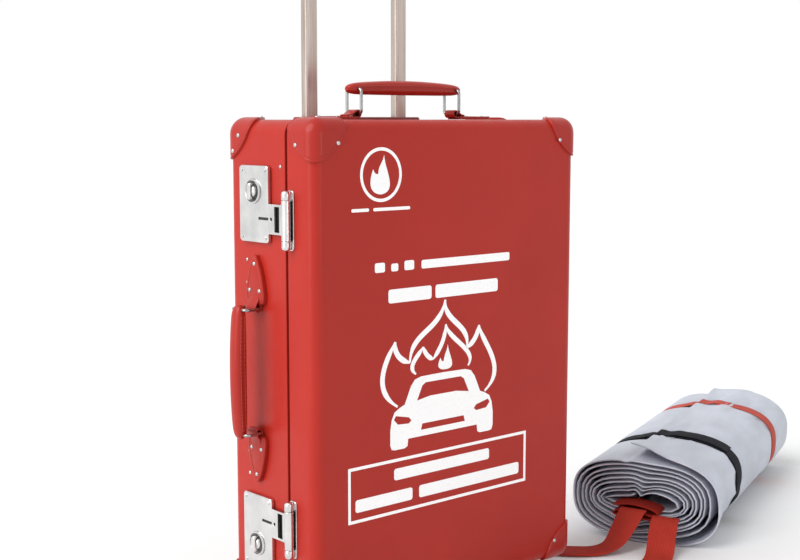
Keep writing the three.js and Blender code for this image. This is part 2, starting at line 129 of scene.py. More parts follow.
cos_turn, sin_turn = math.cos(ROLL_TURN), math.sin(ROLL_TURN)
ROLL = Place((ROLL_X, ROLL_Y, 0), (cos_turn, sin_turn, 0), (-sin_turn, cos_turn, 0))


def left_side(y, z):
    """x to the case's front, y up, z out of its left side."""
    return Place((0, y, z), (0, -1, 0), (0, 0, 1), (-1, 0, 0))


def at(part, place):
    """The part moved from a local frame into the case's."""
    verts, faces = part
    return [place(v) for v in verts], faces


def moved(part, x, y):
    verts, faces = part
    return [(v[0] + x, v[1] + y, v[2]) for v in verts], faces


def joined(*parts):
    verts, faces = [], []
    for part_verts, part_faces in parts:
        start = len(verts)
        verts += part_verts
        faces += [tuple(start + i for i in face) for face in part_faces]
    return verts, faces


# ---------- shapes ----------
def angles(count):
    """Even steps once round a circle."""
    return [2 * math.pi * i / count for i in range(count)]


def around_x(profile, turn, across=0):
    """Pairs of radius and distance along x, turned about x and moved across the radius."""
    c, s = math.cos(turn), math.sin(turn)
    return [(along, r * c - across * s, r * s + across * c) for r, along in profile]


def loft(rings, ends="caps"):
    """Closed rings of points joined one to the next; the ends are capped, open or joined in a loop."""
    count = len(rings[0])
    verts = [Vector(point) for ring in rings for point in ring]
    faces = []
    rows = len(rings) if ends == "loop" else len(rings) - 1
    for i in range(rows):
        row, following = i * count, ((i + 1) % len(rings)) * count
        for j in range(count):
            k = (j + 1) % count
            faces.append((row + j, row + k, following + k, following + j))
    if ends == "caps":
        last = (len(rings) - 1) * count
        faces.append(tuple(range(count - 1, -1, -1)))
        faces.append(tuple(range(last, last + count)))
    return verts, faces


def lathe(profile, sides=32):
    """Radius and height pairs turned about z; the profile starts and ends near the axis."""
    return loft([[(radius * math.cos(t), radius * math.sin(t), height) for t in angles(sides)]
                 for radius, height in profile])


def sweep(path, section, up, ends="caps"):
    """A section, as pairs across and above the path, carried along it."""
    rings = []
    count = len(path)
    for i, point in enumerate(path):
        looped = ends == "loop"
        before = path[i - 1] if i or looped else path[i]
        after = path[(i + 1) % count] if i + 1 < count or looped else path[i]
        along = (Vector(after) - Vector(before)).normalized()
        side = along.cross(Vector(up)).normalized()
        above = side.cross(along)
        rings.append([Vector(point) + side * a + above * b for a, b in section])
    return loft(rings, ends)


def circle(radius, sides=12):
    return [(radius * math.cos(t), radius * math.sin(t)) for t in angles(sides)]


def rounded_rect(width, height, radius, steps=6):
    points = []
    for i, (sx, sy) in enumerate([(1, 1), (-1, 1), (-1, -1), (1, -1)]):
        cx, cy = sx * (width / 2 - radius), sy * (height / 2 - radius)
        for j in range(steps + 1):
            turn = math.pi / 2 * (i + j / steps)
            points.append((cx + radius * math.cos(turn), cy + radius * math.sin(turn)))
    return points


def quadratic(start, bend, end, steps=8):
    """Points along a curve from start towards end; end itself is left out."""
    points = []
    for i in range(steps):
        t = i / steps
        points.append(tuple((1 - t) ** 2 * a + 2 * t * (1 - t) * b + t * t * c
                            for a, b, c in zip(start, bend, end)))
    return points


def smooth_line(points, steps=8):
    """A smooth open curve through the points."""
    points = [Vector(p) for p in points]
    padded = [2 * points[0] - points[1], *points, 2 * points[-1] - points[-2]]
    line = []
    for a, b, c, d in zip(padded, padded[1:], padded[2:], padded[3:]):
        for i in range(steps):
            t = i / steps
            line.append(0.5 * (2 * b + (c - a) * t + (2 * a - 5 * b + 4 * c - d) * t ** 2
                               + (3 * b - a - 3 * c + d) * t ** 3))
    return [*line, points[-1]]


def plate(outline, low, high, rounding=1.0, steps=4, scale_from=(0, 0)):
    """A flat plate whose upper edge is rounded over; the outline draws in towards one point."""
    reach = max(math.hypot(x - scale_from[0], y - scale_from[1]) for x, y in outline)
    rings = [[(x, y, low) for x, y in outline]]
    for i in range(steps + 1):
        turn = math.pi / 2 * i / steps
        shrink = 1 - rounding * (1 - math.cos(turn)) / reach
        height = high - rounding + rounding * math.sin(turn)
        rings.append([(scale_from[0] + (x - scale_from[0]) * shrink,
                       scale_from[1] + (y - scale_from[1]) * shrink, height) for x, y in outline])
    return loft(rings)


def stitches(line, outward, pitch=4.2, length=3.0, thick=0.42):
    """A row of short threads along a line, each standing a little out of the surface."""
    parts = []
    travelled, next_start = 0.0, pitch / 2
    for a, b in zip(line, line[1:]):
        a, b = Vector(a), Vector(b)
        step = (b - a).length
        while step > 0 and travelled + step >= next_start:
            middle = a + (b - a) * ((next_start - travelled) / step)
            along = (b - a).normalized()
            rise = Vector(outward(middle))
            points = [middle + along * (length * s) + rise * (0.3 * (1 - (2 * s) ** 2))
                      for s in (-0.5, -0.25, 0, 0.25, 0.5)]
            parts.append(sweep(points, circle(thick, 6), rise))
            next_start += pitch
        travelled += step
    return joined(*parts)


# ---------- materials ----------
WHITE = (1, 1, 1, 1)


def linear(hex_colour):
    """A display colour as the linear values that shaders use."""
    values = [int(hex_colour[i:i + 2], 16) / 255 for i in (0, 2, 4)]
    return tuple(v / 12.92 if v <= 0.04045 else ((v + 0.055) / 1.055) ** 2.4 for v in values) + (1,)


class Look:
    """A material made of nodes round one Principled shader."""

    def __init__(self, name, **sockets):
        self.material = bpy.data.materials.new(name)
        self.material.use_nodes = True
        self.nodes = self.material.node_tree.nodes
        self.links = self.material.node_tree.links
        self.shader = self.nodes["Principled BSDF"]
        for socket, value in sockets.items():
            self.shader.inputs[socket.replace("_", " ")].default_value = value

    def node(self, kind, inputs=None, **settings):
        made = self.nodes.new("ShaderNode" + kind)
        for key, value in settings.items():
            setattr(made, key, value)
        for key, value in (inputs or {}).items():
            if isinstance(value, bpy.types.NodeSocket):
                self.links.new(value, made.inputs[key])
            else:
                made.inputs[key].default_value = value
        return made

    def coordinates(self, scale=(1, 1, 1), source="Object"):
        texture = self.node("TexCoord")
        return self.node("Mapping", {"Vector": texture.outputs[source], "Scale": scale}).outputs["Vector"]

    def noise(self, scale, detail=3, rough=0.5, stretch=(1, 1, 1), source="Object"):
        made = self.node("TexNoise", {"Vector": self.coordinates(stretch, source), "Scale": scale,
                                      "Detail": detail, "Roughness": rough})
        return made.outputs["Fac"]

    def cells(self, scale):
        made = self.node("TexVoronoi", {"Vector": self.coordinates(), "Scale": scale})
        return made.outputs["Distance"]

    def stripes(self, scale, direction, source="UV", distortion=0):
        made = self.node("TexWave", {"Vector": self.coordinates(source=source), "Scale": scale,
                                     "Distortion": distortion}, bands_direction=direction)
        return made.outputs["Fac"]

    def between(self, factor, low, high, start=0.0, end=1.0):
        """A value or a colour that goes from low to high as the factor goes from start to end."""
        if isinstance(low, tuple):
            ramp = self.node("ValToRGB", {"Fac": factor})
            ramp.color_ramp.elements[0].position, ramp.color_ramp.elements[0].color = start, low
            ramp.color_ramp.elements[1].position, ramp.color_ramp.elements[1].color = end, high
            return ramp.outputs["Color"]
        made = self.node("MapRange", {"Value": factor, "From Min": start, "From Max": end,
                                      "To Min": low, "To Max": high})
        return made.outputs["Result"]

    def calculate(self, operation, a, b):
        return self.node("Math", {0: a, 1: b}, operation=operation).outputs[0]

    def tinted(self, colour, factor, dark, start=0.0, end=1.0):
        """The colour multiplied by a grey that goes from dark to white with the factor."""
        grey = self.between(factor, (*dark, 1), WHITE, start, end)
        made = self.node("Mix", {0: 1.0, 6: colour, 7: grey}, data_type="RGBA", blend_type="MULTIPLY")
        return made.outputs[2]

    def bump(self, height, strength, distance, after=None):
        inputs = {"Height": height, "Strength": strength, "Distance": distance}
        if after is not None:
            inputs["Normal"] = after
        return self.node("Bump", inputs).outputs["Normal"]

    def use(self, colour=None, rough=None, normal=None):
        for name, value in (("Base Color", colour), ("Roughness", rough), ("Normal", normal)):
            if value is not None:
                self.links.new(value, self.shader.inputs[name])
        return self.material


def grained_red(name, dark, light, grain, rough, coat):
    """Red leather or leather-grained coating."""
    look = Look(name, Coat_Weight=coat, Coat_Roughness=0.14, Specular_IOR_Level=0.2)
    cloudy = look.noise(6, 5, 0.6)
    colour = look.between(cloudy, linear(dark), linear(light), 0.3, 0.7)
    pores = look.cells(grain)
    wrinkles = look.noise(grain * 0.4, 3, 0.6)
    normal = look.bump(pores, 0.22, 0.0004)
    normal = look.bump(wrinkles, 0.10, 0.0005, normal)
    return look.use(colour, look.between(look.noise(60, 3), rough - 0.06, rough + 0.08, 0.3, 0.7), normal)


def plated(name, dark, light):
    """Bright plated metal with fine scratches; dark and light are how much it reflects."""
    look = Look(name, Metallic=1.0)
    low, high = (dark, dark, dark, 1), (light, light * 0.99, light * 0.98, 1)
    colour = look.between(look.noise(40, 3), low, high, 0.3, 0.7)
    scratches = look.noise(500, 2, 0.5, (1, 1, 0.08))
    rough = look.between(look.noise(90, 4), 0.12, 0.26, 0.3, 0.75)
    return look.use(colour, rough, look.bump(scratches, 0.04, 0.0002))


def moulded(name, dark, light, rough):
    look = Look(name)
    colour = look.between(look.noise(9, 4), linear(dark), linear(light), 0.3, 0.7)
    texture = look.cells(1500)
    return look.use(colour, look.between(look.noise(120, 3), rough - 0.07, rough + 0.08, 0.3, 0.7),
                    look.bump(texture, 0.18, 0.0002))


def one_texture(name, noise, colours, spread, rough, bump, metallic=0.0):
    """A material whose colour, roughness and relief all follow one noise texture."""
    look = Look(name, Metallic=metallic)
    texture = look.noise(*noise)
    colour = look.between(texture, linear(colours[0]), linear(colours[1]), *spread)
    return look.use(colour, look.between(texture, *rough), look.bump(texture, *bump))


def woven(name, dark, light, pitch):
    """Cloth with crossing threads a pitch apart, in metres."""
    look = Look(name, Sheen_Weight=0.3, Sheen_Roughness=0.5)
    scale = math.pi / (10 * pitch)
    warp = look.stripes(scale, "X", "Object", 0.4)
    weft = look.stripes(scale, "Z", "Object", 0.4)
    weave = look.calculate("MULTIPLY", warp, weft)
    colour = look.between(weave, linear(dark), linear(light), 0.0, 0.8)
    colour = look.tinted(colour, look.noise(25, 4), (0.8, 0.8, 0.8), 0.3, 0.7)
    return look.use(colour, look.between(weave, 0.85, 0.7), look.bump(weave, 0.5, 0.0004))


def webbing(name, dark, light):
    """Woven strap: ribs along its length crossed by fine picks, from the strap's own coordinates."""
    look = Look(name, Specular_IOR_Level=0.12)
    ribs = look.stripes(170, "Y")
    picks = look.stripes(300, "X", distortion=1.5)
    weave = look.calculate("MULTIPLY", look.between(ribs, 0.45, 1.0), look.between(picks, 0.6, 1.0))
    colour = look.between(weave, linear(dark), linear(light), 0.25, 0.95)
    colour = look.tinted(colour, look.noise(22, 4), (0.75, 0.72, 0.72), 0.3, 0.7)
    return look.use(colour, look.between(weave, 0.85, 0.65), look.bump(weave, 0.6, 0.0005))


def fire_cloth():
    """Silver grey coated glass cloth: fine weave under a soft shine, with creases and handling marks; its
    colour is darker in the crease hollows as painted shade.
    """
    look = Look("fire_cloth", Metallic=0.12, Coat_Weight=0.12, Coat_Roughness=0.35)
    scale = math.pi / (10 * 0.0014)
    warp = look.stripes(scale, "X", distortion=0.3)
    weft = look.stripes(scale, "Y", distortion=0.3)
    weave = look.calculate("MULTIPLY", warp, weft)
    creases = look.noise(11, 5, 0.5, (1, 2.2, 1), "UV")
    marks = look.noise(5, 5, 0.6, (1, 1, 1), "UV")
    # The colour follows the crease relief: darker in the hollows as painted shade, and lighter on the ridges
    # as painted light.
    colour = look.between(creases, linear("b4b9c4"), linear("cbd0db"), 0.32, 0.62)
    colour = look.tinted(colour, marks, (0.95, 0.955, 0.96), 0.35, 0.6)
    colour = look.tinted(colour, weave, (0.92, 0.92, 0.93))
    normal = look.bump(creases, 0.30, 0.004)
    normal = look.bump(weave, 0.16, 0.0003, normal)
    return look.use(colour, look.between(creases, 0.36, 0.52, 0.3, 0.7), normal)


LOOKS = {
    "shell": grained_red("shell_coating", "a4241a", "ad281d", 1000, 0.38, 0.08),
    "cap_leather": grained_red("cap_leather", "9f221a", "a8261c", 800, 0.34, 0.16),
    "rim": one_texture("rim_board", (260, 4, 0.6, (1, 1, 0.15)), ("3a100d", "5f1e19"), (0.3, 0.7),
                       (0.5, 0.7), (0.2, 0.0003)),
    "lining": woven("lining_cloth", "17151a", "2f2b31", 0.0016),
    "chrome": plated("bright_plating", 0.6, 0.76),
    "handle_leather": grained_red("handle_leather", "9a2118", "a9271c", 900, 0.36, 0.15),
    "tube": one_texture("anodised_tube", (700, 3, 0.6, (1, 1, 0.02)), ("a99c92", "cbbeb6"), (0.3, 0.7),
                        (0.26, 0.42, 0.3, 0.7), (0.08, 0.0002), 1.0),
    "bracket": moulded("bracket_plastic", "6d1814", "7c211b", 0.45),
    "black_plastic": moulded("black_plastic", "161618", "242426", 0.5),
    "tyre": one_texture("tyre_rubber", (160, 5, 0.65), ("101012", "2e2d2d"), (0.35, 0.75),
                        (0.7, 0.92, 0.3, 0.7), (0.25, 0.0004)),
    "blanket": fire_cloth(),
    "black_webbing": webbing("black_webbing", "0c0d12", "22242c"),
    "red_webbing": webbing("red_webbing", "93261d", "cc4435"),
}
RED_BAND_LOOK = webbing("red_band_webbing", "b04338", "d86c5f")
THREAD = moulded("waxed_thread", "a83a2e", "bd4c3f", 0.5)
DARK_STEEL = plated("dark_steel", 0.05, 0.2)
RIVET_METAL = plated("rivet_heads", 0.4, 0.62)
WIRE_STEEL = plated("ring_wire", 0.25, 0.42)
INK = one_texture("white_print", (420, 4, 0.7), ("f4f0ef", "ffffff"), (0.3, 0.45), (0.35, 0.5, 0.3, 0.7),
                  (0.08, 0.0002))


# ---------- pieces ----------
SLOTS = {entry["node"]: entry["material_slot"] for entry in frame["record"]["subparts"]}


def finish_mesh(obj, smooth_angle):
    mesh = obj.data
    work = bmesh.new()
    work.from_mesh(mesh)
    bmesh.ops.recalc_face_normals(work, faces=work.faces)
    work.to_mesh(mesh)
    work.free()
    mesh.shade_smooth()
    mesh.set_sharp_from_angle(angle=math.radians(smooth_angle))


def add_bevel(obj, width, segments=2, angle=35):
    bevel = obj.modifiers.new("eased_edges", "BEVEL")
    bevel.width = width * MM
    bevel.segments = segments
    bevel.limit_method = "ANGLE"
    bevel.angle_limit = math.radians(angle)
    bevel.harden_normals = False


def add_object(name, data):
    obj = bpy.data.objects.new(name, data)
    bpy.context.scene.collection.objects.link(obj)
    return obj


def add_piece(name, mesh, slot, body, look=None):
    """An object of one material that rides on a body."""
    mesh.materials.clear()
    mesh.materials.append(look or LOOKS[slot])
    obj = add_object(name, mesh)
    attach(obj, body)
    return obj


def piece(name, part, slot, body, look=None, stands_for=(), smooth=38, bevel=0, uvs=None):
    """A new piece from a part in the case's millimetres."""
    verts, faces = part
    mesh = bpy.data.meshes.new(name)
    mesh.from_pydata([to_row(v) for v in verts], [], faces)
    if uvs:
        layer = mesh.uv_layers.new(name="cloth")
        for loop in mesh.loops:
            layer.data[loop.index].uv = uvs[loop.vertex_index]
    obj = add_piece(name, mesh, slot, body, look)
    finish_mesh(obj, smooth)
    if bevel:
        add_bevel(obj, bevel)
    if stands_for:
        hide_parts(*stands_for)
    return obj


def eased(node, width, segments):
    """A copy of a CAD node with clean faces and eased edges stands for it."""
    source = frame["nodes"][node]
    mesh = source.data.copy()
    work = bmesh.new()
    work.from_mesh(mesh)
    bmesh.ops.remove_doubles(work, verts=work.verts, dist=1e-5)
    bmesh.ops.dissolve_limit(work, angle_limit=math.radians(1), verts=work.verts, edges=work.edges)
    work.to_mesh(mesh)
    work.free()
    obj = add_piece(node + "_finish", mesh, SLOTS[node], source["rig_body"])
    finish_mesh(obj, 40)
    add_bevel(obj, width, segments)
    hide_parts(node)


# ---------- case shells and linings ----------
def case_ring(y, inset, corner=CORNER):
    """The case's outline at a distance back from the front, drawn in by an inset."""
    outline = rounded_rect(WIDTH - 2 * inset, TOP - FOOT - 2 * inset, max(corner - inset, 1.2), 8)
    return [(MIDDLE_X + x, y, MIDDLE_Z + z) for x, z in outline]


def half_shell(lip, far):
    """A shell from its lip at the seam to its far face."""
    way = 1 if far > lip else -1
    rings = []
    for depth in (0, WALL):
        rounding = EDGE - depth
        face = far - way * depth
        surface = [case_ring(lip, depth + 0.5), case_ring(lip + way * 0.5, depth)]
        for i in range(13):
            turn = math.pi / 2 * i / 12
            surface.append(case_ring(face - way * rounding * (1 - math.sin(turn)),
                                     depth + rounding * (1 - math.cos(turn))))
        surface.append(case_ring(face, depth + rounding + 2))
        rings.append(surface)
    outer, inner = rings
    return loft([*reversed(outer), *inner])


def make_shells():
    for half, body, lip, far in (("lid", "lid", LID_LIP, 0), ("base", "case_base", BASE_LIP, DEPTH)):
        piece(f"{half}_shell_body", half_shell(lip, far), "shell", body, stands_for=[f"{half}_shell"])


def quilted_panel(y, sign):
    """The padded panel on a shell's inside: puffed diamonds between sewn lines."""
    columns, rows, pitch, puff, margin = 56, 76, 46, 2.6, 11
    low_x, high_x, low_z, high_z = margin, WIDTH - margin, FOOT + margin, TOP - margin
    front, back = [], []
    for i in range(rows + 1):
        for j in range(columns + 1):
            x = low_x + (high_x - low_x) * j / columns
            z = low_z + (high_z - low_z) * i / rows
            a, b = math.pi * (x + z) / pitch, math.pi * (x - z) / pitch
            rise = puff * math.sqrt(abs(math.sin(a) * math.sin(b)))
            border = min(j, columns - j, i, rows - i) / 2
            front.append(Vector((x, y + sign * rise * min(1, border), z)))
            back.append(Vector((x, y - sign * 1.0, z)))
    count = columns + 1
    faces = []
    for i in range(rows):
        for j in range(columns):
            a = i * count + j
            faces.append((a, a + 1, a + 1 + count, a + count))
    size = len(front)
    faces += [tuple(size + k for k in reversed(face)) for face in faces]
    rim = list(range(count)) + [i * count + columns for i in range(1, rows + 1)]
    rim += [rows * count + j for j in range(columns - 1, -1, -1)]
    rim += [i * count for i in range(rows - 1, 0, -1)]
    for a, b in zip(rim, rim[1:] + rim[:1]):
        faces.append((a, b, size + b, size + a))
    return front + back, faces


def lining_walls(lip, face):
    outer = [case_ring(lip, LINING_DEPTH), case_ring(face, LINING_DEPTH)]
    inner = [case_ring(face, LINING_DEPTH + 1.5), case_ring(lip, LINING_DEPTH + 1.5)]
    return loft([*outer, *inner], "loop")


def make_linings():
    for half, body, sign, far in (("lid", "lid", 1, 0), ("base", "case_base", -1, DEPTH)):
        lip = HINGE_Y - sign * LINING_GAP
        face = far + sign * LINING_DEPTH
        walls = piece(f"{half}_lining_walls", lining_walls(lip, face), "lining", body,
                      stands_for=[f"{half}_lining"])
        panel = piece(f"{half}_lining_panel", quilted_panel(face + sign, sign), "lining", body)


# ---------- corner caps ----------
def case_distance(x, y, z):
    """How far a point is outside the case's rounded form, negative inside."""
    qx = abs(x - MIDDLE_X) - (WIDTH / 2 - CORNER)
    qz = abs(z - MIDDLE_Z) - ((TOP - FOOT) / 2 - CORNER)
    side = math.hypot(max(qx, 0), max(qz, 0)) + min(max(qx, qz), 0) - CORNER
    face = abs(y - DEPTH / 2) - DEPTH / 2
    a, b = side + EDGE, face + EDGE
    return math.hypot(max(a, 0), max(b, 0)) + min(max(a, b), 0) - EDGE


def surface_along(start, direction, offset):
    """Where a line from inside the case meets its form grown by an offset."""
    reach = 0.0
    for _ in range(14):
        point = start + direction * reach
        reach += offset - case_distance(*point)
    return start + direction * reach


def case_corner(sx, sy, sz):
    return Vector((MIDDLE_X + sx * WIDTH / 2, DEPTH / 2 + sy * DEPTH / 2, MIDDLE_Z + sz * (TOP - FOOT) / 2))


def cap_edge(corner, start, axis, limit):
    """Pairs of a direction across the cap's axis and the widest angle that the cap reaches that way."""
    ball, radius = corner + axis * math.hypot(20, 20, 20), math.hypot(CAP_REACH + 20, 20, 20)
    across = axis.cross(Vector((0, 0, 1))).normalized()
    above = across.cross(axis)
    edge = []
    for turn in angles(96):
        lean = across * math.cos(turn) + above * math.sin(turn)
        low, high = 0.0, math.radians(88)
        for _ in range(14):
            angle = (low + high) / 2
            point = surface_along(start, axis * math.cos(angle) + lean * math.sin(angle), 0)
            if (point - ball).length < radius and point.y < limit:
                low = angle
            else:
                high = angle
        edge.append((lean, low))
    return edge


def corner_cap(sx, sy, sz):
    """A leather cap moulded over one corner, round at its free edge, thinning to the case."""
    corner, out = case_corner(sx, sy, sz), Vector((sx, sy, sz))
    start, axis = corner - out * 34, out.normalized()
    edge = cap_edge(corner, start, axis, LID_LIP - 0.4 if sy < 0 else DEPTH + 50)

    def ring_at(share, rise):
        return [surface_along(start, axis * math.cos(widest * share) + lean * math.sin(widest * share), rise)
                for lean, widest in edge]

    rings = []
    steps = 22
    for i in range(steps + 1):
        share = math.sin(math.pi / 2 * (i / steps)) if i else 0.02
        past = max(0.0, (share - 0.97) / 0.03)
        rise = 0.25 + CAP_RISE * math.sqrt(max(0.0, 1 - past * past))
        rise -= 0.5 * math.exp(-((share - 0.91) / 0.014) ** 2)         # the groove inside its edge
        rings.append(ring_at(share, rise))
    rings += [ring_at(share, 0.05) for share in (1.0, 0.6, 0.25, 0.05)]
    return loft(rings)


def rivet(radius=2.4, rise=1.3):
    profile = [(0.05, -0.8), (radius * 0.8, -0.8), (radius, 0), (radius * 0.97, rise * 0.35),
               (radius * 0.8, rise * 0.75), (radius * 0.5, rise), (radius * 0.3, rise * 0.92),
               (0.05, rise * 0.8)]
    return lathe(profile, 20)


def facing(direction):
    """A place's axes with z along a face's outward direction."""
    z_axis = Vector(direction)
    helper = Vector((0, 0, 1)) if abs(z_axis.z) < 0.9 else Vector((1, 0, 0))
    x_axis = helper.cross(z_axis).normalized()
    return x_axis, z_axis.cross(x_axis), z_axis


def make_caps():
    rivets = {"lid": [], "base": []}
    for side, sx in (("left", -1), ("right", 1)):
        for end, sz in (("bottom", -1), ("top", 1)):
            for half, sy in (("lid", -1), ("base", 1)):
                name = f"corner_cap_{half}_{side}_{end}"
                body = "lid" if half == "lid" else "case_base"
                piece(name + "_leather", corner_cap(sx, sy, sz), "cap_leather", body, stands_for=[name],
                      smooth=60)
                spots = [((31, 0, 24), (0, sy, 0)), ((26, 26, 0), (0, 0, sz))]
                if half == "lid":
                    spots.append(((0, 26, 26), (sx, 0, 0)))
                else:
                    spots += [((0, 23.5, 17), (sx, 0, 0)), ((0, 13, 34), (sx, 0, 0))]
                for (dx, dy, dz), direction in spots:
                    spot = case_corner(sx, sy, sz) - Vector((sx * dx, sy * dy, sz * dz))
                    spot += Vector(direction) * (CAP_RISE + 0.2)
                    rivets[half].append(at(rivet(), Place(spot, *facing(direction))))
    piece("lid_cap_rivets", joined(*rivets["lid"]), "chrome", "lid", look=RIVET_METAL)
    piece("base_cap_rivets", joined(*rivets["base"]), "chrome", "case_base", look=RIVET_METAL)


def make_side_rivets():
    """Small rivets through the left side, beside the handle and above each hasp."""
    spots = [(118, MIDDLE_Z + sign * height) for sign in (1, -1) for height in (119, 94)]
    spots += [(56, MIDDLE_Z + sign * 221) for sign in (1, -1)]
    parts = [at(rivet(2.0, 1.0), Place((0, y, z), *facing((-1, 0, 0)))) for y, z in spots]
    piece("side_rivets", joined(*parts), "chrome", "case_base", look=RIVET_METAL)


# ---------- locks ----------
def hasp_bracket():
    """The lid's half of the hasp: a foot plate, and a round-ended knuckle at each end of the bar."""
    parts = [moved(plate(rounded_rect(12, 63, 4), 0.3, 1.5, 0.4), HASP_PIN, 0)]
    for end in (-1, 1):
        along_y = Place((HASP_PIN, 0, 6.8), (end, 0, 0), (0, 0, -1), (0, end, 0))
        parts.append(at(lathe([(0.05, 21.4), (4.7, 21.4), (5, 21.8), (5, 27.2), (4.7, 29.2), (3.8, 30.5),
                               (2.4, 31.3), (0.05, 31.6)], 24), along_y))
        foot = [(HASP_PIN + x, end * (26 + y)) for x, y in rounded_rect(8, 9, 2)]
        parts.append(plate(foot[::end], 1.2, 6, 0.2))
    return joined(*parts)


def make_lock(name, z, up):
    side = left_side(HARDWARE_Y, z)
    hasp_y = -HASP_DROP * up
    eased(f"lock_plate_{name}", 1.1, 4)
    eased(f"hasp_{name}", 0.7, 3)

    hasp_place = Place(side((0, hasp_y, 0)), *side.axes)
    piece(f"hasp_bracket_{name}_bar", at(hasp_bracket(), hasp_place), "chrome", "lid",
          stands_for=[f"hasp_bracket_{name}"], smooth=45)
    # A thin black strip on the hasp's foot plate beside the bar: painted shadow of the gap under the bar.
    painted_shadow_strip = moved(plate(rounded_rect(10, 41, 1), 1.3, 1.68, 0.1), HASP_PIN, 0)
    piece(f"hasp_painted_shadow_strip_{name}", at(painted_shadow_strip, hasp_place), "black_plastic", "lid")
    # Thin black patches on the lock: painted shade in the hollow under the hasp's window, and a painted
    # shadow line along the lock plate's edge.
    painted_shade_patches = joined(moved(plate(rounded_rect(23, 31, 1), 0.3, 0.9, 0.3), 38.2, hasp_y),
                    moved(plate(rounded_rect(16.4, 2.7, 0.4), 3.35, 3.7, 0.1), 17.4, hasp_y))
    piece(f"lock_painted_shade_patches_{name}", at(painted_shade_patches, side), "black_plastic", "case_base")
    screws = [at(rivet(1.9, 0.7), Place(side((across * 21, above * 36, 5.3)), *side.axes))
              for across in (-1, 1) for above in (-1, 1)]
    piece(f"lock_screws_{name}", joined(*screws), "chrome", "case_base", look=DARK_STEEL)

    knob_place = Place(side((0, KNOB_RISE * up, 0)), *side.axes)
    knob_body = f"knob_{name}_body"
    rim = lathe([(0.05, 5.5), (13.4, 5.5), (13.6, 6.2), (13.0, 7.3), (11.9, 7.5), (11.4, 6.3), (0.05, 6.3)],
                48)
    wing = plate(rounded_rect(6.4, 18, 3.1), 6.8, 12.2, 1.6)
    collar = lathe([(0.05, 6.3), (6.6, 6.3), (6.4, 7.6), (5.2, 8.8), (4.2, 9.2), (0.05, 9.2)], 28)
    piece(f"lock_knob_{name}_turned", at(joined(rim, wing, collar), knob_place), "chrome", knob_body,
          stands_for=[f"lock_knob_{name}"], smooth=45)
    beads = [lathe([(6.9, 6.32), (11.2, 6.32), (11.0, 6.6), (7.1, 6.6)], 48)]
    for turn in angles(16):
        bead = lathe([(0.05, 5.9), (0.95, 6.0), (1.0, 6.6), (0.6, 7.3), (0.05, 7.5)], 10)
        beads.append(moved(bead, 9.2 * math.cos(turn), 9.2 * math.sin(turn)))
    piece(f"lock_knob_{name}_beads", at(joined(*beads), knob_place), "chrome", knob_body, look=DARK_STEEL)


# ---------- carry handles ----------
def grip_section(width, height, steps=32):
    """A soft oblong with a sewn groove along each side."""
    points = []
    for j in range(steps):
        turn = 2 * math.pi * (j + 0.5) / steps
        c, s = math.cos(turn), math.sin(turn)
        groove = 1 - 0.085 * math.exp(-(s / 0.14) ** 2)
        y = (width / 2) * math.copysign(abs(c) ** 0.82, c) * groove
        z = (height / 2) * math.copysign(abs(s) ** 0.82, s)
        points.append((y, z))
    return points


def grip(half_length, centre):
    rings = []
    steps = 46
    for i in range(steps + 1):
        x = half_length * -math.cos(math.pi * i / steps)
        share = min(1.0, abs(x) / (half_length + 0.4))
        fullness = max(0.12, 1 - share ** 16) ** 0.5
        bow = 1 - share ** 2
        section = grip_section((17 + bow) * fullness, (12 + 4.5 * bow) * fullness)
        rings.append([(x, y, centre + GRIP_ARCH * bow + z) for y, z in section])
    return loft(rings)


def grip_threads(half_length, centre):
    rows = []
    for way in (-1, 1):
        for height in (-1, 1):
            line = []
            for i in range(41):
                x = (half_length - 9) * (i / 20 - 1)
                bow = 1 - (x / half_length) ** 2
                z = centre + GRIP_ARCH * bow + height * (2.1 + 0.4 * bow)
                line.append(Vector((x, way * (8.35 + 0.5 * bow), z)))
            rows.append(stitches(line, lambda p, w=way: (0, w, 0)))
    return joined(*rows)


def teardrop_tab():
    outline = quadratic((5, -14), (9, -16.5), (14, -16.5), 4)
    outline += quadratic((14, -16.5), (42, -13), (56, -2.5), 12)
    outline += quadratic((56, -2.5), (58.5, 0), (56, 2.5), 4)
    outline += quadratic((56, 2.5), (42, 13), (14, 16.5), 12)
    outline += quadratic((14, 16.5), (9, 16.5), (5, 14), 4)
    return outline + [(5, 14), (3.4, 7), (3, 0), (3.4, -7)]


def tapered_strap():
    outline = [(4, -10.5), (20, -9.9), (36, -9.2)] + quadratic((52, -8), (62, -6.5), (62, 0), 8)
    return outline + quadratic((62, 0), (62, 6.5), (52, 8), 8) + [(52, 8), (36, 9.2), (20, 9.9), (4, 10.5)]


def tab_loop(width):
    """The leather that folds round the ring's bar."""
    line = [(14, 4.6), (9, 5.6), (4.4, 8.6)]
    for i in range(13):
        turn = math.radians(70 + 200 * i / 12)
        line.append((3.7 * math.cos(turn), 6.5 + 3.7 * math.sin(turn)))
    line += [(4, 1.9), (12, 1.5)]
    path = [Vector((x, 0, z)) for x, z in line]
    return sweep(path, rounded_rect(2.0, width, 0.9, 3), (0, 1, 0))


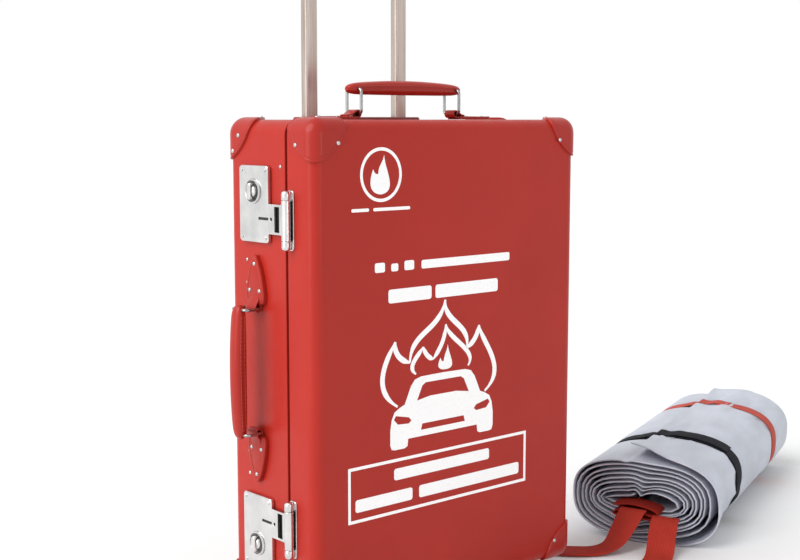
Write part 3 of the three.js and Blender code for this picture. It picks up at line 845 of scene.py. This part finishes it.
def make_handle(name, place, half, rise, overhang, outline, tab_height, ends, rivet_spots):
    """A carry handle; half is from its middle to a ring, rise from a ring's bar up to the grip."""
    where = name.split("_")[0]
    bar = 6.5
    grip_z = bar + rise
    grip_half = half + overhang
    piece(f"{name}_grip_leather", at(grip(grip_half, grip_z), place), "handle_leather", f"{where}_grip",
          stands_for=[f"{name}_grip"], smooth=60)
    piece(f"{name}_grip_threads", at(grip_threads(grip_half, grip_z), place), "handle_leather",
          f"{where}_grip", look=THREAD)

    for end, sign in zip(ends, (-1, 1)):
        here = Place(place((sign * half, 0, 0)), place.axes[0] * sign, place.axes[1], place.axes[2])
        line = [Vector((0, y, bar + rise / 2 + z)) for y, z in rounded_rect(25, rise, 4.2, 6)]
        wire = sweep(line, circle(1.75, 14), (1, 0, 0), "loop")
        piece(f"{name}_ring_{end}_wire", at(wire, here), "chrome", f"{where}_ring_{end}", look=WIRE_STEEL,
              stands_for=[f"{name}_ring_{end}"])

        middle = (sum(p[0] for p in outline) / len(outline), 0)
        leather = plate(outline, 0.25, tab_height, 1.5, 5, middle)
        tab = joined(leather, tab_loop(17 if where == "side" else 16))
        piece(f"{name}_tab_{end}_leather", at(tab, here), "handle_leather", "case_base",
              stands_for=[f"{name}_tab_{end}"])
        inset = [(middle[0] + (x - middle[0]) * 0.87, y * 0.82, tab_height) for x, y in outline]
        row = stitches([Vector(p) for p in inset + inset[:1]], lambda p: (0, 0, 1), 3.6, 2.5, 0.38)
        piece(f"{name}_tab_{end}_threads", at(row, here), "handle_leather", "case_base", look=THREAD)
        heads = [at(rivet(2.3, 1.2), Place(here((x, y, tab_height)), *here.axes)) for x, y in rivet_spots]
        piece(f"{name}_tab_{end}_rivets", joined(*heads), "chrome", "case_base", look=RIVET_METAL)


def make_handles():
    side = Place((0, HARDWARE_Y, MIDDLE_Z), (0, 0, 1), (0, 1, 0), (-1, 0, 0))
    make_handle("side_handle", side, 68, 19.5, 5, teardrop_tab(), 5.3, ("lower", "upper"),
                ((19, -9), (19, 9), (48, 0)))
    top = Place((MIDDLE_X, TOP_HANDLE_Y, TOP))
    make_handle("top_handle", top, 75, 27.5, 11, tapered_strap(), 3.3, ("left", "right"),
                ((24, 0), (50, 0)))


# ---------- trolley, wheels, feet ----------
def make_trolley():
    for stage in ("guide", "stage1", "stage2"):
        for side in ("left", "right"):
            eased(f"{stage}_tube_{side}", 0.25, 2)
    edge_widths = {"top_bracket": 0.8, "bottom_bracket": 0.8, "grip": 1.5, "release_button": 0.8}
    for node, width in edge_widths.items():
        eased("trolley_" + node, width, 3)


def wheel(x):
    """Tyre with tread grooves, and a spoked hub, about the axle's middle."""
    profile = [(19.4, -8.6), (22.5, -8.9), (24.4, -7.4), (25, -5.2), (25, 0), (25, 5.2), (24.4, 7.4),
               (22.5, 8.9), (19.4, 8.6), (18.6, 0)]
    tyre = []
    for i, turn in enumerate(angles(TREAD * 4)):
        groove = 0.55 if i % 4 == 0 else 0.0
        tyre.append(around_x([(r - (groove if r > 24 else 0), along) for r, along in profile], turn))
    hub = [(4.6, -8.8), (7.6, -8.8), (8.2, -7.2), (8.2, 7.2), (7.6, 8.8), (4.6, 8.8)]
    rim = [(16.6, -7.8), (19.2, -7.8), (19.2, 7.8), (16.6, 7.8)]
    web = [(8, -1.4), (17, -1.4), (17, 1.4), (8, 1.4)]
    parts = [loft([around_x(ring, turn) for turn in angles(48)], "loop") for ring in (hub, rim, web)]
    for turn in angles(5):
        corners = ((8, -2.2), (17, -1.6), (17, 1.6), (8, 2.2))
        parts.append(loft([[around_x([(r, along)], turn, across)[0] for r, across in corners]
                           for along in (-5, 5)]))
    place = Place((x, WHEEL_Y, WHEEL_RADIUS))
    return at(loft(tyre, "loop"), place), at(joined(*parts), place)


def make_rolling_gear():
    for side, x in (("left", WHEEL_X), ("right", WIDTH - WHEEL_X)):
        eased(f"wheel_housing_{side}", 0.9, 3)
        eased(f"wheel_axle_{side}", 0.4, 2)
        tyre, hub = wheel(x)
        piece(f"wheel_{side}_tyre", tyre, "tyre", f"wheel_{side}_body", stands_for=[f"wheel_{side}"],
              smooth=30)
        piece(f"wheel_{side}_hub", hub, "black_plastic", f"wheel_{side}_body", bevel=0.3)
        foot = lathe([(0.05, 0), (8.6, 0), (9.6, 0.8), (9.9, 2.4), (9.2, 3.2), (10.4, 4.4), (9.8, 6),
                      (11, 8), (12.8, 16), (13, 19.6), (0.05, 19.6)], 36)
        piece(f"foot_{side}_rubber", at(foot, Place((x, FOOT_Y, 0))), "black_plastic", "case_base",
              stands_for=[f"foot_{side}"])


def make_hinges():
    for half, body, sign in (("base", "case_base", 1), ("lid", "lid", -1)):
        for end, z in (("upper", TOP - HINGE_INSET), ("lower", FOOT + HINGE_INSET)):
            eased(f"hinge_leaf_{half}_{end}", 0.3, 2)
            row = (WIDTH + 1.8, HINGE_Y + sign * 14)
            heads = [at(rivet(1.7, 0.8), Place((*row, z + dz), *facing((1, 0, 0)))) for dz in (-17, 0, 17)]
            piece(f"hinge_rivets_{half}_{end}", joined(*heads), "chrome", body)


# ---------- printed front ----------
EMBLEM_X = 91                                     # printed middles, across from the case's left side
FLAMES_X = 181


def front_print(name, outlines):
    """Flat white print on the lid: outlines in millimetres across from the left, down from the top."""
    curve = bpy.data.curves.new(name, "CURVE")
    curve.dimensions = "2D"
    curve.fill_mode = "BOTH"
    curve.extrude = 0.12 * MM
    for outline in outlines:
        spline = curve.splines.new("POLY")
        spline.points.add(len(outline) - 1)
        for point, (x, z) in zip(spline.points, outline):
            point.co = (x * MM, -z * MM, 0, 1)
        spline.use_cyclic_u = True
    drawn = add_object(name, curve)
    bpy.context.view_layer.update()
    mesh = bpy.data.meshes.new_from_object(drawn.evaluated_get(bpy.context.evaluated_depsgraph_get()))
    bpy.data.objects.remove(drawn)
    for vertex in mesh.vertices:
        x, z, lift = vertex.co
        vertex.co = (lid_low.x + x, lid_low.y - 0.12 * MM + lift, TOP * MM + z)
    add_piece(name, mesh, "shell", "lid", INK)


def bar(x0, x1, z0, z1, radius=2.2):
    points = rounded_rect(x1 - x0, z1 - z0, min(radius, (z1 - z0) / 2 - 0.1), 5)
    return [((x0 + x1) / 2 + x, (z0 + z1) / 2 + z) for x, z in points]


def cubic(start, bend, second_bend, end, steps=12):
    """Points along a curve with two bends; end itself is left out."""
    points = []
    for i in range(steps):
        t = i / steps
        weights = ((1 - t) ** 3, 3 * t * (1 - t) ** 2, 3 * t * t * (1 - t), t ** 3)
        points.append(tuple(sum(w * p[axis] for w, p in zip(weights, (start, bend, second_bend, end)))
                            for axis in (0, 1)))
    return points


def flame_outline(corners, bends, centre, base):
    """A flame's outline from its tips and valleys, with two bends between each pair."""
    line = []
    for start, (bend, second_bend), end in zip(corners, bends, corners[1:]):
        line += cubic(start, bend, second_bend, end)
    return [(centre + x, base - y) for x, y in line]


def stroke(line, width, level):
    """A printed line of the given width on the lid, narrowing to both its ends."""
    rings = []
    for i, (x, z) in enumerate(line):
        before, after = line[max(i - 1, 0)], line[min(i + 1, len(line) - 1)]
        along = Vector((after[0] - before[0], after[1] - before[1])).normalized()
        from_end = min(i, len(line) - 1 - i) / (len(line) - 1)
        half = width / 2 * (0.4 + 0.6 * ease(from_end / 0.25))
        side = Vector((-along.y, along.x)) * half
        left, right = (x + side.x, z + side.y), (x - side.x, z - side.y)
        rings.append([(point[0], y, TOP - point[1])
                      for point, y in ((left, -level), (right, -level), (right, -0.02), (left, -0.02))])
    return loft(rings)


def flame_strokes(corners, bends, width, base):
    """A flame drawn as one stroke from each tip or valley to the next."""
    parts = []
    for i, (start, pair, end) in enumerate(zip(corners, bends, corners[1:])):
        line = [(FLAMES_X + x, base - y) for x, y in cubic(start, *pair, end, 18) + [end]]
        parts.append(stroke(line, width, 0.24 + 0.05 * (i % 2)))
    return joined(*parts)


def car_front(centre, base):
    """A plain car seen from the front, above its base line, with the windows and lamps as holes."""
    half = [(0, 78), (34, 77.4), (43, 75), (49, 68), (58, 49), (66, 46), (73, 42), (77, 34), (79, 22),
            (79, 6), (77, 1), (73, 0), (58, 0), (54, 2), (53, 10), (0, 10)]
    body = half + [(-x, y) for x, y in reversed(half)][1:-1]
    window = [(-40, 51), (-32, 67), (-27, 70), (27, 70), (32, 67), (40, 51), (20, 54), (-20, 54)]
    holes = [window]
    for way in (-1, 1):
        lamp = [(74, 34), (71, 38), (52, 34), (48, 30), (52, 27), (68, 28)]
        holes.append([(way * x, y) for x, y in lamp][::way])
    holes.append([(-34, 17), (34, 17), (32, 24), (-32, 24)])
    return [[(centre + x, base - y) for x, y in outline] for outline in [body, *holes]]


def make_print():
    rings = [[(EMBLEM_X + x, 58 + z) for x, z in circle(radius, 64)] for radius in (29, 25.5)]
    front_print("print_emblem_ring", rings)
    front_print("print_emblem_flame", [flame_outline(
        [(0, -9), (-11, 18), (-4, 13), (4, 33), (0, -9)],
        [((-18, -8), (-17, 6)), ((-10, 14), (-7, 12)), ((-4, 22), (3, 25)), ((5, 17), (24, -6))],
        EMBLEM_X, 70)])
    front_print("print_emblem_bar", [bar(50, 74, 93, 96.5, 1.5), bar(80, 132, 93, 96.5, 1.5)])
    front_print("print_line_one", [bar(82, 96, 152, 162.5), bar(105, 115, 154, 162.5),
                                   bar(124, 138, 152, 162.5), bar(149, 287, 153, 162.5)])
    front_print("print_line_two", [bar(101, 164, 182, 197, 3), bar(170, 268, 182, 197, 3)])
    outer = flame_strokes([(-67, -20), (-70, 52), (-49, 27), (4, 92), (38, 34), (57, 58), (67, -20)],
                          [((-104, 2), (-86, 30)), ((-73, 40), (-63, 30)), ((-48, 62), (-4, 56)),
                           ((0, 66), (44, 62)), ((48, 38), (56, 48)), ((62, 36), (106, 4))], 6.4, 292)
    inner = flame_strokes([(-40, 11), (-29, 40), (-14, 25), (5, 62), (40, 11)],
                          [((-54, 20), (-38, 30)), ((-27, 32), (-20, 26)), ((-6, 33), (4, 44)),
                           ((8, 44), (56, 28))], 5.6, 290)
    piece("print_outer_flame", outer, "shell", "lid", look=INK)
    piece("print_inner_flame", inner, "shell", "lid", look=INK)
    front_print("print_flame_heart", [flame_outline(
        [(0, 12), (-8, 26), (-3, 22), (3, 40), (0, 12)],
        [((-15, 12), (-12, 20)), ((-7, 22), (-5, 21)), ((-2, 30), (3, 34)), ((5, 26), (19, 12))],
        FLAMES_X + 5, 291)])
    front_print("print_car", car_front(FLAMES_X + 1.5, 360))
    front_print("print_frame", [bar(44, 318, 369.8, 431.3, 0.6), bar(47.4, 314.6, 373.2, 427.9, 0.3)])
    front_print("print_frame_lines", [bar(109, 256, 381, 394, 3), bar(54, 136, 406, 420, 3),
                                      bar(146, 306, 406, 420, 3)])


# ---------- the rolled blanket ----------
def wobble(seed, count, lowest, highest):
    """A smooth repeatable ripple of one number, from -1 to 1."""
    rng = random.Random(seed)
    waves = [(rng.uniform(lowest, highest), rng.uniform(0, 2 * math.pi), rng.uniform(0.5, 1))
             for _ in range(count)]
    total = sum(size for _, _, size in waves)
    return lambda value: sum(size * math.sin(rate * value + phase) for rate, phase, size in waves) / total


def ease(value):
    value = min(1.0, max(0.0, value))
    return value * value * (3 - 2 * value)


def bump_at(value, middle, width):
    """A smooth rise that is 1 at the middle and fades over the width to either side."""
    return math.exp(-((value - middle) / width) ** 2)


edge_wobble = wobble(11, 5, 0.7, 3.6)
far_wobble = wobble(12, 5, 0.6, 3.0)
layer_wobble = wobble(13, 5, 0.9, 4.2)
length_wobble = wobble(14, 4, 0.010, 0.035)
FOLDS = [(2, 0.4, 0.5), (3, 2.1, 0.8), (5, 4.4, 0.3), (7, 1.2, 0.1)]      # waves all the layers share
crease_rng = random.Random(27)


def crease(start, way, lean, wide, long, rise):
    """One crease in the cloth: it starts at a place along the roll and runs on one way."""
    draw = crease_rng.uniform
    return {"from": start, "way": way, "turn": draw(0, 2 * math.pi), "lean": draw(-lean, lean),
            "wide": draw(*wide), "long": draw(*long), "rise": crease_rng.choice((-1, 1)) * draw(*rise)}


CREASES = [crease(band + side * 17, side, 0.0035, (0.035, 0.09), (30, 100), (0.8, 2.4))
           for band in (BLACK_BAND, RED_BAND) for side in (-1, 1) for _ in range(17)]
CREASES += [crease(crease_rng.uniform(20, ROLL_LENGTH - 80), 1, 0.006, (0.04, 0.1), (40, 110), (0.5, 1.4))
            for _ in range(12)]


def band_pinch(x):
    """How far the bands draw the cloth in."""
    return sum(2.8 * (1 - ease((abs(x - band) - 14) / 15)) for band in (BLACK_BAND, RED_BAND))


def creases(turn, x):
    rise = 0.0
    for fold in CREASES:
        along = (x - fold["from"]) * fold["way"]
        if -6 < along < fold["long"] * 2.2:
            offset = (turn - fold["turn"] - fold["lean"] * along + math.pi) % (2 * math.pi) - math.pi
            if abs(offset) < 3 * fold["wide"]:
                fade = ease((along + 6) / 8) * bump_at(max(0, along), 0, fold["long"])
                rise += fold["rise"] * fade * bump_at(offset, 0, fold["wide"])
    return rise


def cloth_inset(turned, x, lift):
    """How far inside the roll's outline the cloth lies."""
    turn = FLAP + turned
    depth = LAYER * turned / (2 * math.pi)
    inner = depth / (LAYER * TURNS)
    inset = depth + band_pinch(x) * (1 - 0.8 * inner) + CLOTH / 2 - lift
    inset -= 0.7 * layer_wobble(turned) * (0.4 + inner) + 0.5 * length_wobble(x) * (1 - inner)
    inset += 0.85 * math.sin(turned / 2) * min(1, turned / 6)      # the cloth lies double, so turns pair up
    inset += 5.5 * inner * sum(size * math.sin(waves * turn + phase) for waves, phase, size in FOLDS)
    inset -= 1.5 * bump_at(turned, 0, 0.09)                        # the hem along the cloth's outer edge
    inset += 2.0 * bump_at(turned, 2 * math.pi - 0.07, 0.09)       # the turn below dips beside that edge
    if turned < 2 * math.pi * 1.02:
        outer = 1 - ease((turned / (2 * math.pi) - 0.8) / 0.2)
        inset -= creases(turn % (2 * math.pi), x) * outer
        inset -= 13 * bump_at(turned, 0, 0.7) * (1 - ease(x / 105)) * outer          # the flap stands open
        inset -= 8.5 * bump_at(turned, 2.3, 1.0) * (1 - ease(x / 90)) * outer        # loose near end
        inset -= 5 * ease((x - FAR_SWELL) / 85) * (0.35 + 0.65 * math.sin(1.7 * turned + 0.6))
        inset -= 3.4 * bump_at(turned, RED_FOLD, 0.2) * bump_at(x, RED_BAND - 4, 16)  # a tuck at the red band
    return inset


def cloth_point(turned, x, lift):
    """A point of the wound cloth: how far round it has turned, how far along, how far above its middle."""
    turn = FLAP + turned
    inner = turned / (2 * math.pi * TURNS)
    inset = cloth_inset(turned, x, lift)
    half_width, half_height = ROLL_WIDTH / 2 - inset, ROLL_HEIGHT / 2 - inset
    c, s = math.cos(turn), math.sin(turn)
    power = 2.7 - 0.5 * inner                                      # outer turns are squarer than inner ones
    reach = ((abs(c) / half_width) ** power + (abs(s) / half_height) ** power) ** (-1 / power)
    across = reach * c + 7 * inner
    above = ROLL_HEIGHT / 2 + reach * s - 9 * inner
    return Vector((x, across, max(above, 0.25 + 0.35 * lift)))


def cloth_ends(turned):
    """Where the cloth's two edges lie at a point of its turning."""
    inner = turned / (2 * math.pi * TURNS)
    near = 6 + 7 * edge_wobble(turned) + 12 * inner + 26 * bump_at(turned, 0, 0.75)
    lobes = 16 * bump_at(turned, 0.75, 0.5) + 9 * bump_at(turned, 2.3, 0.7)
    second = 14 * bump_at(turned, 2 * math.pi - 0.6, 0.5)
    far = ROLL_LENGTH - 22 + 6 * far_wobble(turned) + lobes + second - 6 * inner
    return near, far


def along_samples():
    """Distances along the roll, closer together at its edges and round the bands."""
    steps_round_bands = (-26, -21, -17, -14, -9, 0, 9, 14, 17, 21, 26)
    inside = [band + step for band in (BLACK_BAND, RED_BAND) for step in steps_round_bands]
    inside += list(range(48, BLACK_BAND - 28, 10)) + list(range(BLACK_BAND + 36, RED_BAND - 30, 14))
    inside += list(range(RED_BAND + 34, ROLL_LENGTH - 34, 8))
    return sorted(inside)


def wound_cloth():
    """The blanket as one long sheet wound up: a closed thin body with rounded edges."""
    inside = along_samples()
    fine_turns, fine_steps, steps_per_turn = 1.15, 120, 46
    turns = [2 * math.pi * fine_turns * i / fine_steps for i in range(fine_steps)]
    left = TURNS - fine_turns
    turns += [2 * math.pi * (fine_turns + left * i / (steps_per_turn * left))
              for i in range(int(steps_per_turn * left) + 1)]
    rings, uvs = [], []
    length, previous = 0.0, None
    for turned in turns:
        near, far = cloth_ends(turned)
        half = CLOTH / 2
        ends = [(0.0, 0.0), (0.15, 0.5), (0.5, 0.87), (1.15, 1.0)]
        upper = [(near + a, half * b) for a, b in ends] + [(x, half) for x in inside]
        upper += [(far - a, half * b) for a, b in reversed(ends)]
        lower = [(x, -lift) for x, lift in reversed(upper[1:-1])]
        ring = [cloth_point(turned, x, lift) for x, lift in upper + lower]
        middle = ring[len(upper) // 2]
        length += (middle - previous).length if previous else 0.0
        previous = middle
        rings.append(ring)
        uvs += [(x * MM, length * MM) for x, _ in upper + lower]
    return loft(rings), uvs, length


def band_part(middle, width, overlap, sink):
    """A webbing band round the roll: it lies on the cloth and bridges the step at the cloth's edge.

    overlap is how far it runs past its start, and sink how far it dips into the cloth's fold there.
    """
    steps, thick, start = 150, 1.6, 0.45
    total = 2 * math.pi + overlap
    section = rounded_rect(width, thick, thick * 0.45, 3)
    centre = Vector((0, 0, ROLL_HEIGHT / 2))
    rings, uvs = [], []
    length, previous = 0.0, None
    for i in range(steps + 1):
        turned = start + total * i / steps
        round_once = turned % (2 * math.pi)
        second = ease((turned - start - 2 * math.pi + 0.25) / 0.25)
        bridge = ease((round_once - 2 * math.pi + 0.5) / 0.5)
        ring = []
        for x, lift in section:
            level = cloth_point(round_once, middle + x * 0.9, CLOTH / 2 + thick / 2 + 0.25 + lift)
            if bridge > 0:
                flat = Vector((0, level.y, level.z)) - centre
                flat = flat.normalized() * (flat.length + LAYER * 0.95 * bridge)
                level = Vector((level.x, flat.y, centre.z + flat.z))
            outward = Vector((0, level.y, level.z - centre.z)).normalized()
            level = level + outward * (second * (thick + 0.3))
            level = level - outward * (sink * bump_at(round_once, RED_FOLD, 0.17))
            ring.append(Vector((middle + x + 3.5 * second, level.y, max(level.z, 0.3 + 0.2 * lift))))
        rings.append(ring)
        length += (ring[0] - previous).length if previous else 0.0
        previous = ring[0]
        uvs += [(length * MM, x * MM) for x, _ in section]
    return loft(rings), uvs


STRAP_ROUTES = {
    "left": [(-4, 6, 47), (-13, 7, 44.5), (-31, 11, 30), (-48, 20, 11), (-61, 36, 3), (-75, 60, 2.4),
             (-83, 88, 2.4), (-84, 116, 2.4), (-76, 143, 2.4), (-60, 166, 2.4), (-38, 184, 2.4)],
    "right": [(-3, -38, 41), (-12, -38, 38.5), (-31, -40, 23), (-50, -43, 7), (-70, -44, 2.4),
              (-98, -41, 2.4), (-127, -32, 2.4), (-155, -19, 2.4), (-181, -3, 2.4), (-205, 14, 2.4)],
}
STRAP_WIDTH, STRAP_THICK = 36, 2.4


def make_straps():
    for name, route in STRAP_ROUTES.items():
        line = smooth_line(route, 7)
        section = rounded_rect(STRAP_WIDTH, STRAP_THICK, 1.0, 3)
        verts, faces = sweep(line, section, (0, 0, 1))
        uvs, length = [], 0.0
        for i, point in enumerate(line):
            length += (point - line[i - 1]).length if i else 0.0
            uvs += [(length * MM, across * MM) for across, _ in section]
        strap = piece(f"pull_strap_{name}_webbing", at((verts, faces), ROLL), "red_webbing", "blanket",
                      stands_for=[f"pull_strap_{name}"], uvs=uvs, smooth=50)
        path = [to_row(ROLL(point)) for point in line]


def strap_fold():
    """The pull straps' folded root, packed in the middle of the roll."""
    line = smooth_line([(34, 50), (12, 53), (-8, 51), (-22, 47), (-26, 42), (-16, 40), (2, 44), (20, 45),
                        (31, 42), (34, 38), (22, 36), (2, 37), (-16, 34)], 5)
    return sweep([(12, across, above) for across, above in line], rounded_rect(2.2, 33, 0.9, 3), (1, 0, 0))


def make_blanket():
    part, uvs, length = wound_cloth()
    cloth = piece("wound_fire_cloth", at(part, ROLL), "blanket", "blanket", stands_for=["blanket_roll"],
                  uvs=uvs, smooth=65)
    piece("pull_strap_fold", at(strap_fold(), ROLL), "red_webbing", "blanket", smooth=50)
    part, uvs = band_part(BLACK_BAND, 30, 0.95, 0)
    piece("black_band_webbing", at(part, ROLL), "black_webbing", "blanket", stands_for=["band_black"],
          uvs=uvs, smooth=50)
    part, uvs = band_part(RED_BAND, 25, 0.3, 3.2)
    piece("red_band_webbing", at(part, ROLL), "red_webbing", "blanket", look=RED_BAND_LOOK,
          stands_for=["band_red"], uvs=uvs, smooth=50)


# ---------- stage ----------
def make_stage():
    """A pale floor under an even white sky, which lights surfaces more softly than it shows."""
    world = bpy.data.worlds.new("studio")
    bpy.context.scene.world = world
    world.use_nodes = True
    nodes, links = world.node_tree.nodes, world.node_tree.links
    shown = nodes["Background"]
    shown.inputs["Color"].default_value = WHITE
    shown.inputs["Strength"].default_value = 1.0
    lighting = nodes.new("ShaderNodeBackground")
    lighting.inputs["Strength"].default_value = SKY
    lighting.inputs["Color"].default_value = WHITE
    ray = nodes.new("ShaderNodeLightPath")
    either = nodes.new("ShaderNodeMixShader")
    links.new(ray.outputs["Is Diffuse Ray"], either.inputs[0])
    links.new(shown.outputs[0], either.inputs[1])
    links.new(lighting.outputs[0], either.inputs[2])
    links.new(either.outputs[0], nodes["World Output"].inputs["Surface"])

    bpy.ops.mesh.primitive_plane_add(size=60, location=(0, 0, -0.0005))
    floor = bpy.context.object
    floor.name = "floor"
    pale = Look("pale_floor", Roughness=0.9)
    tone = pale.between(pale.noise(0.6, 2), (0.86, 0.86, 0.86, 1), (0.9, 0.9, 0.9, 1), 0.3, 0.7)
    floor.data.materials.append(pale.use(tone))


def add_sun(name, direction, strength, spread):
    data = bpy.data.lights.new(name, "SUN")
    data.energy = strength
    data.angle = math.radians(spread)
    sun = add_object(name, data)
    sun.rotation_euler = Vector(direction).to_track_quat("-Z", "Y").to_euler()


def add_light(name, place, target, size, power):
    data = bpy.data.lights.new(name, "AREA")
    data.shape = "RECTANGLE"
    data.size, data.size_y = size
    data.energy = power
    light = add_object(name, data)
    light.location = place
    light.rotation_euler = (Vector(target) - Vector(place)).to_track_quat("-Z", "Y").to_euler()


def make_camera():
    data = bpy.data.cameras.new("camera")
    data.sensor_width = 36
    data.lens = 60.5
    camera = add_object("camera", data)
    camera.location = to_row((-836.8, -1086.4, TOP))
    camera.rotation_euler = (math.radians(90 - 6.805), 0, math.radians(-41.3))
    bpy.context.scene.camera = camera


def finish_plain_nodes():
    """CAD nodes that still show get their slot's material."""
    for name, node in frame["nodes"].items():
        if not node.hide_render:
            node.data.materials.clear()
            node.data.materials.append(LOOKS[SLOTS[name]])


make_camera()
make_straps()
make_shells()
make_linings()
make_caps()
make_side_rivets()
make_lock("upper", TOP - LOCK_INSET, 1)
make_lock("lower", FOOT + LOCK_INSET, -1)
make_handles()
make_trolley()
make_rolling_gear()
make_hinges()
make_print()
make_blanket()
finish_plain_nodes()
make_stage()
add_sun("left_sun", (0.72, -0.12, -0.68), 2.1, 50)
add_light("left_key", (-3.4, 0.3, 1.0), (-0.5, 0, 0.3), (1.6, 2.4), 24)
add_light("edge_strip", (0.05, -3.5, 0.5), (-0.5, -0.1, 0.35), (0.14, 1.8), 7)
bpy.context.scene.view_settings.view_transform = "Standard"
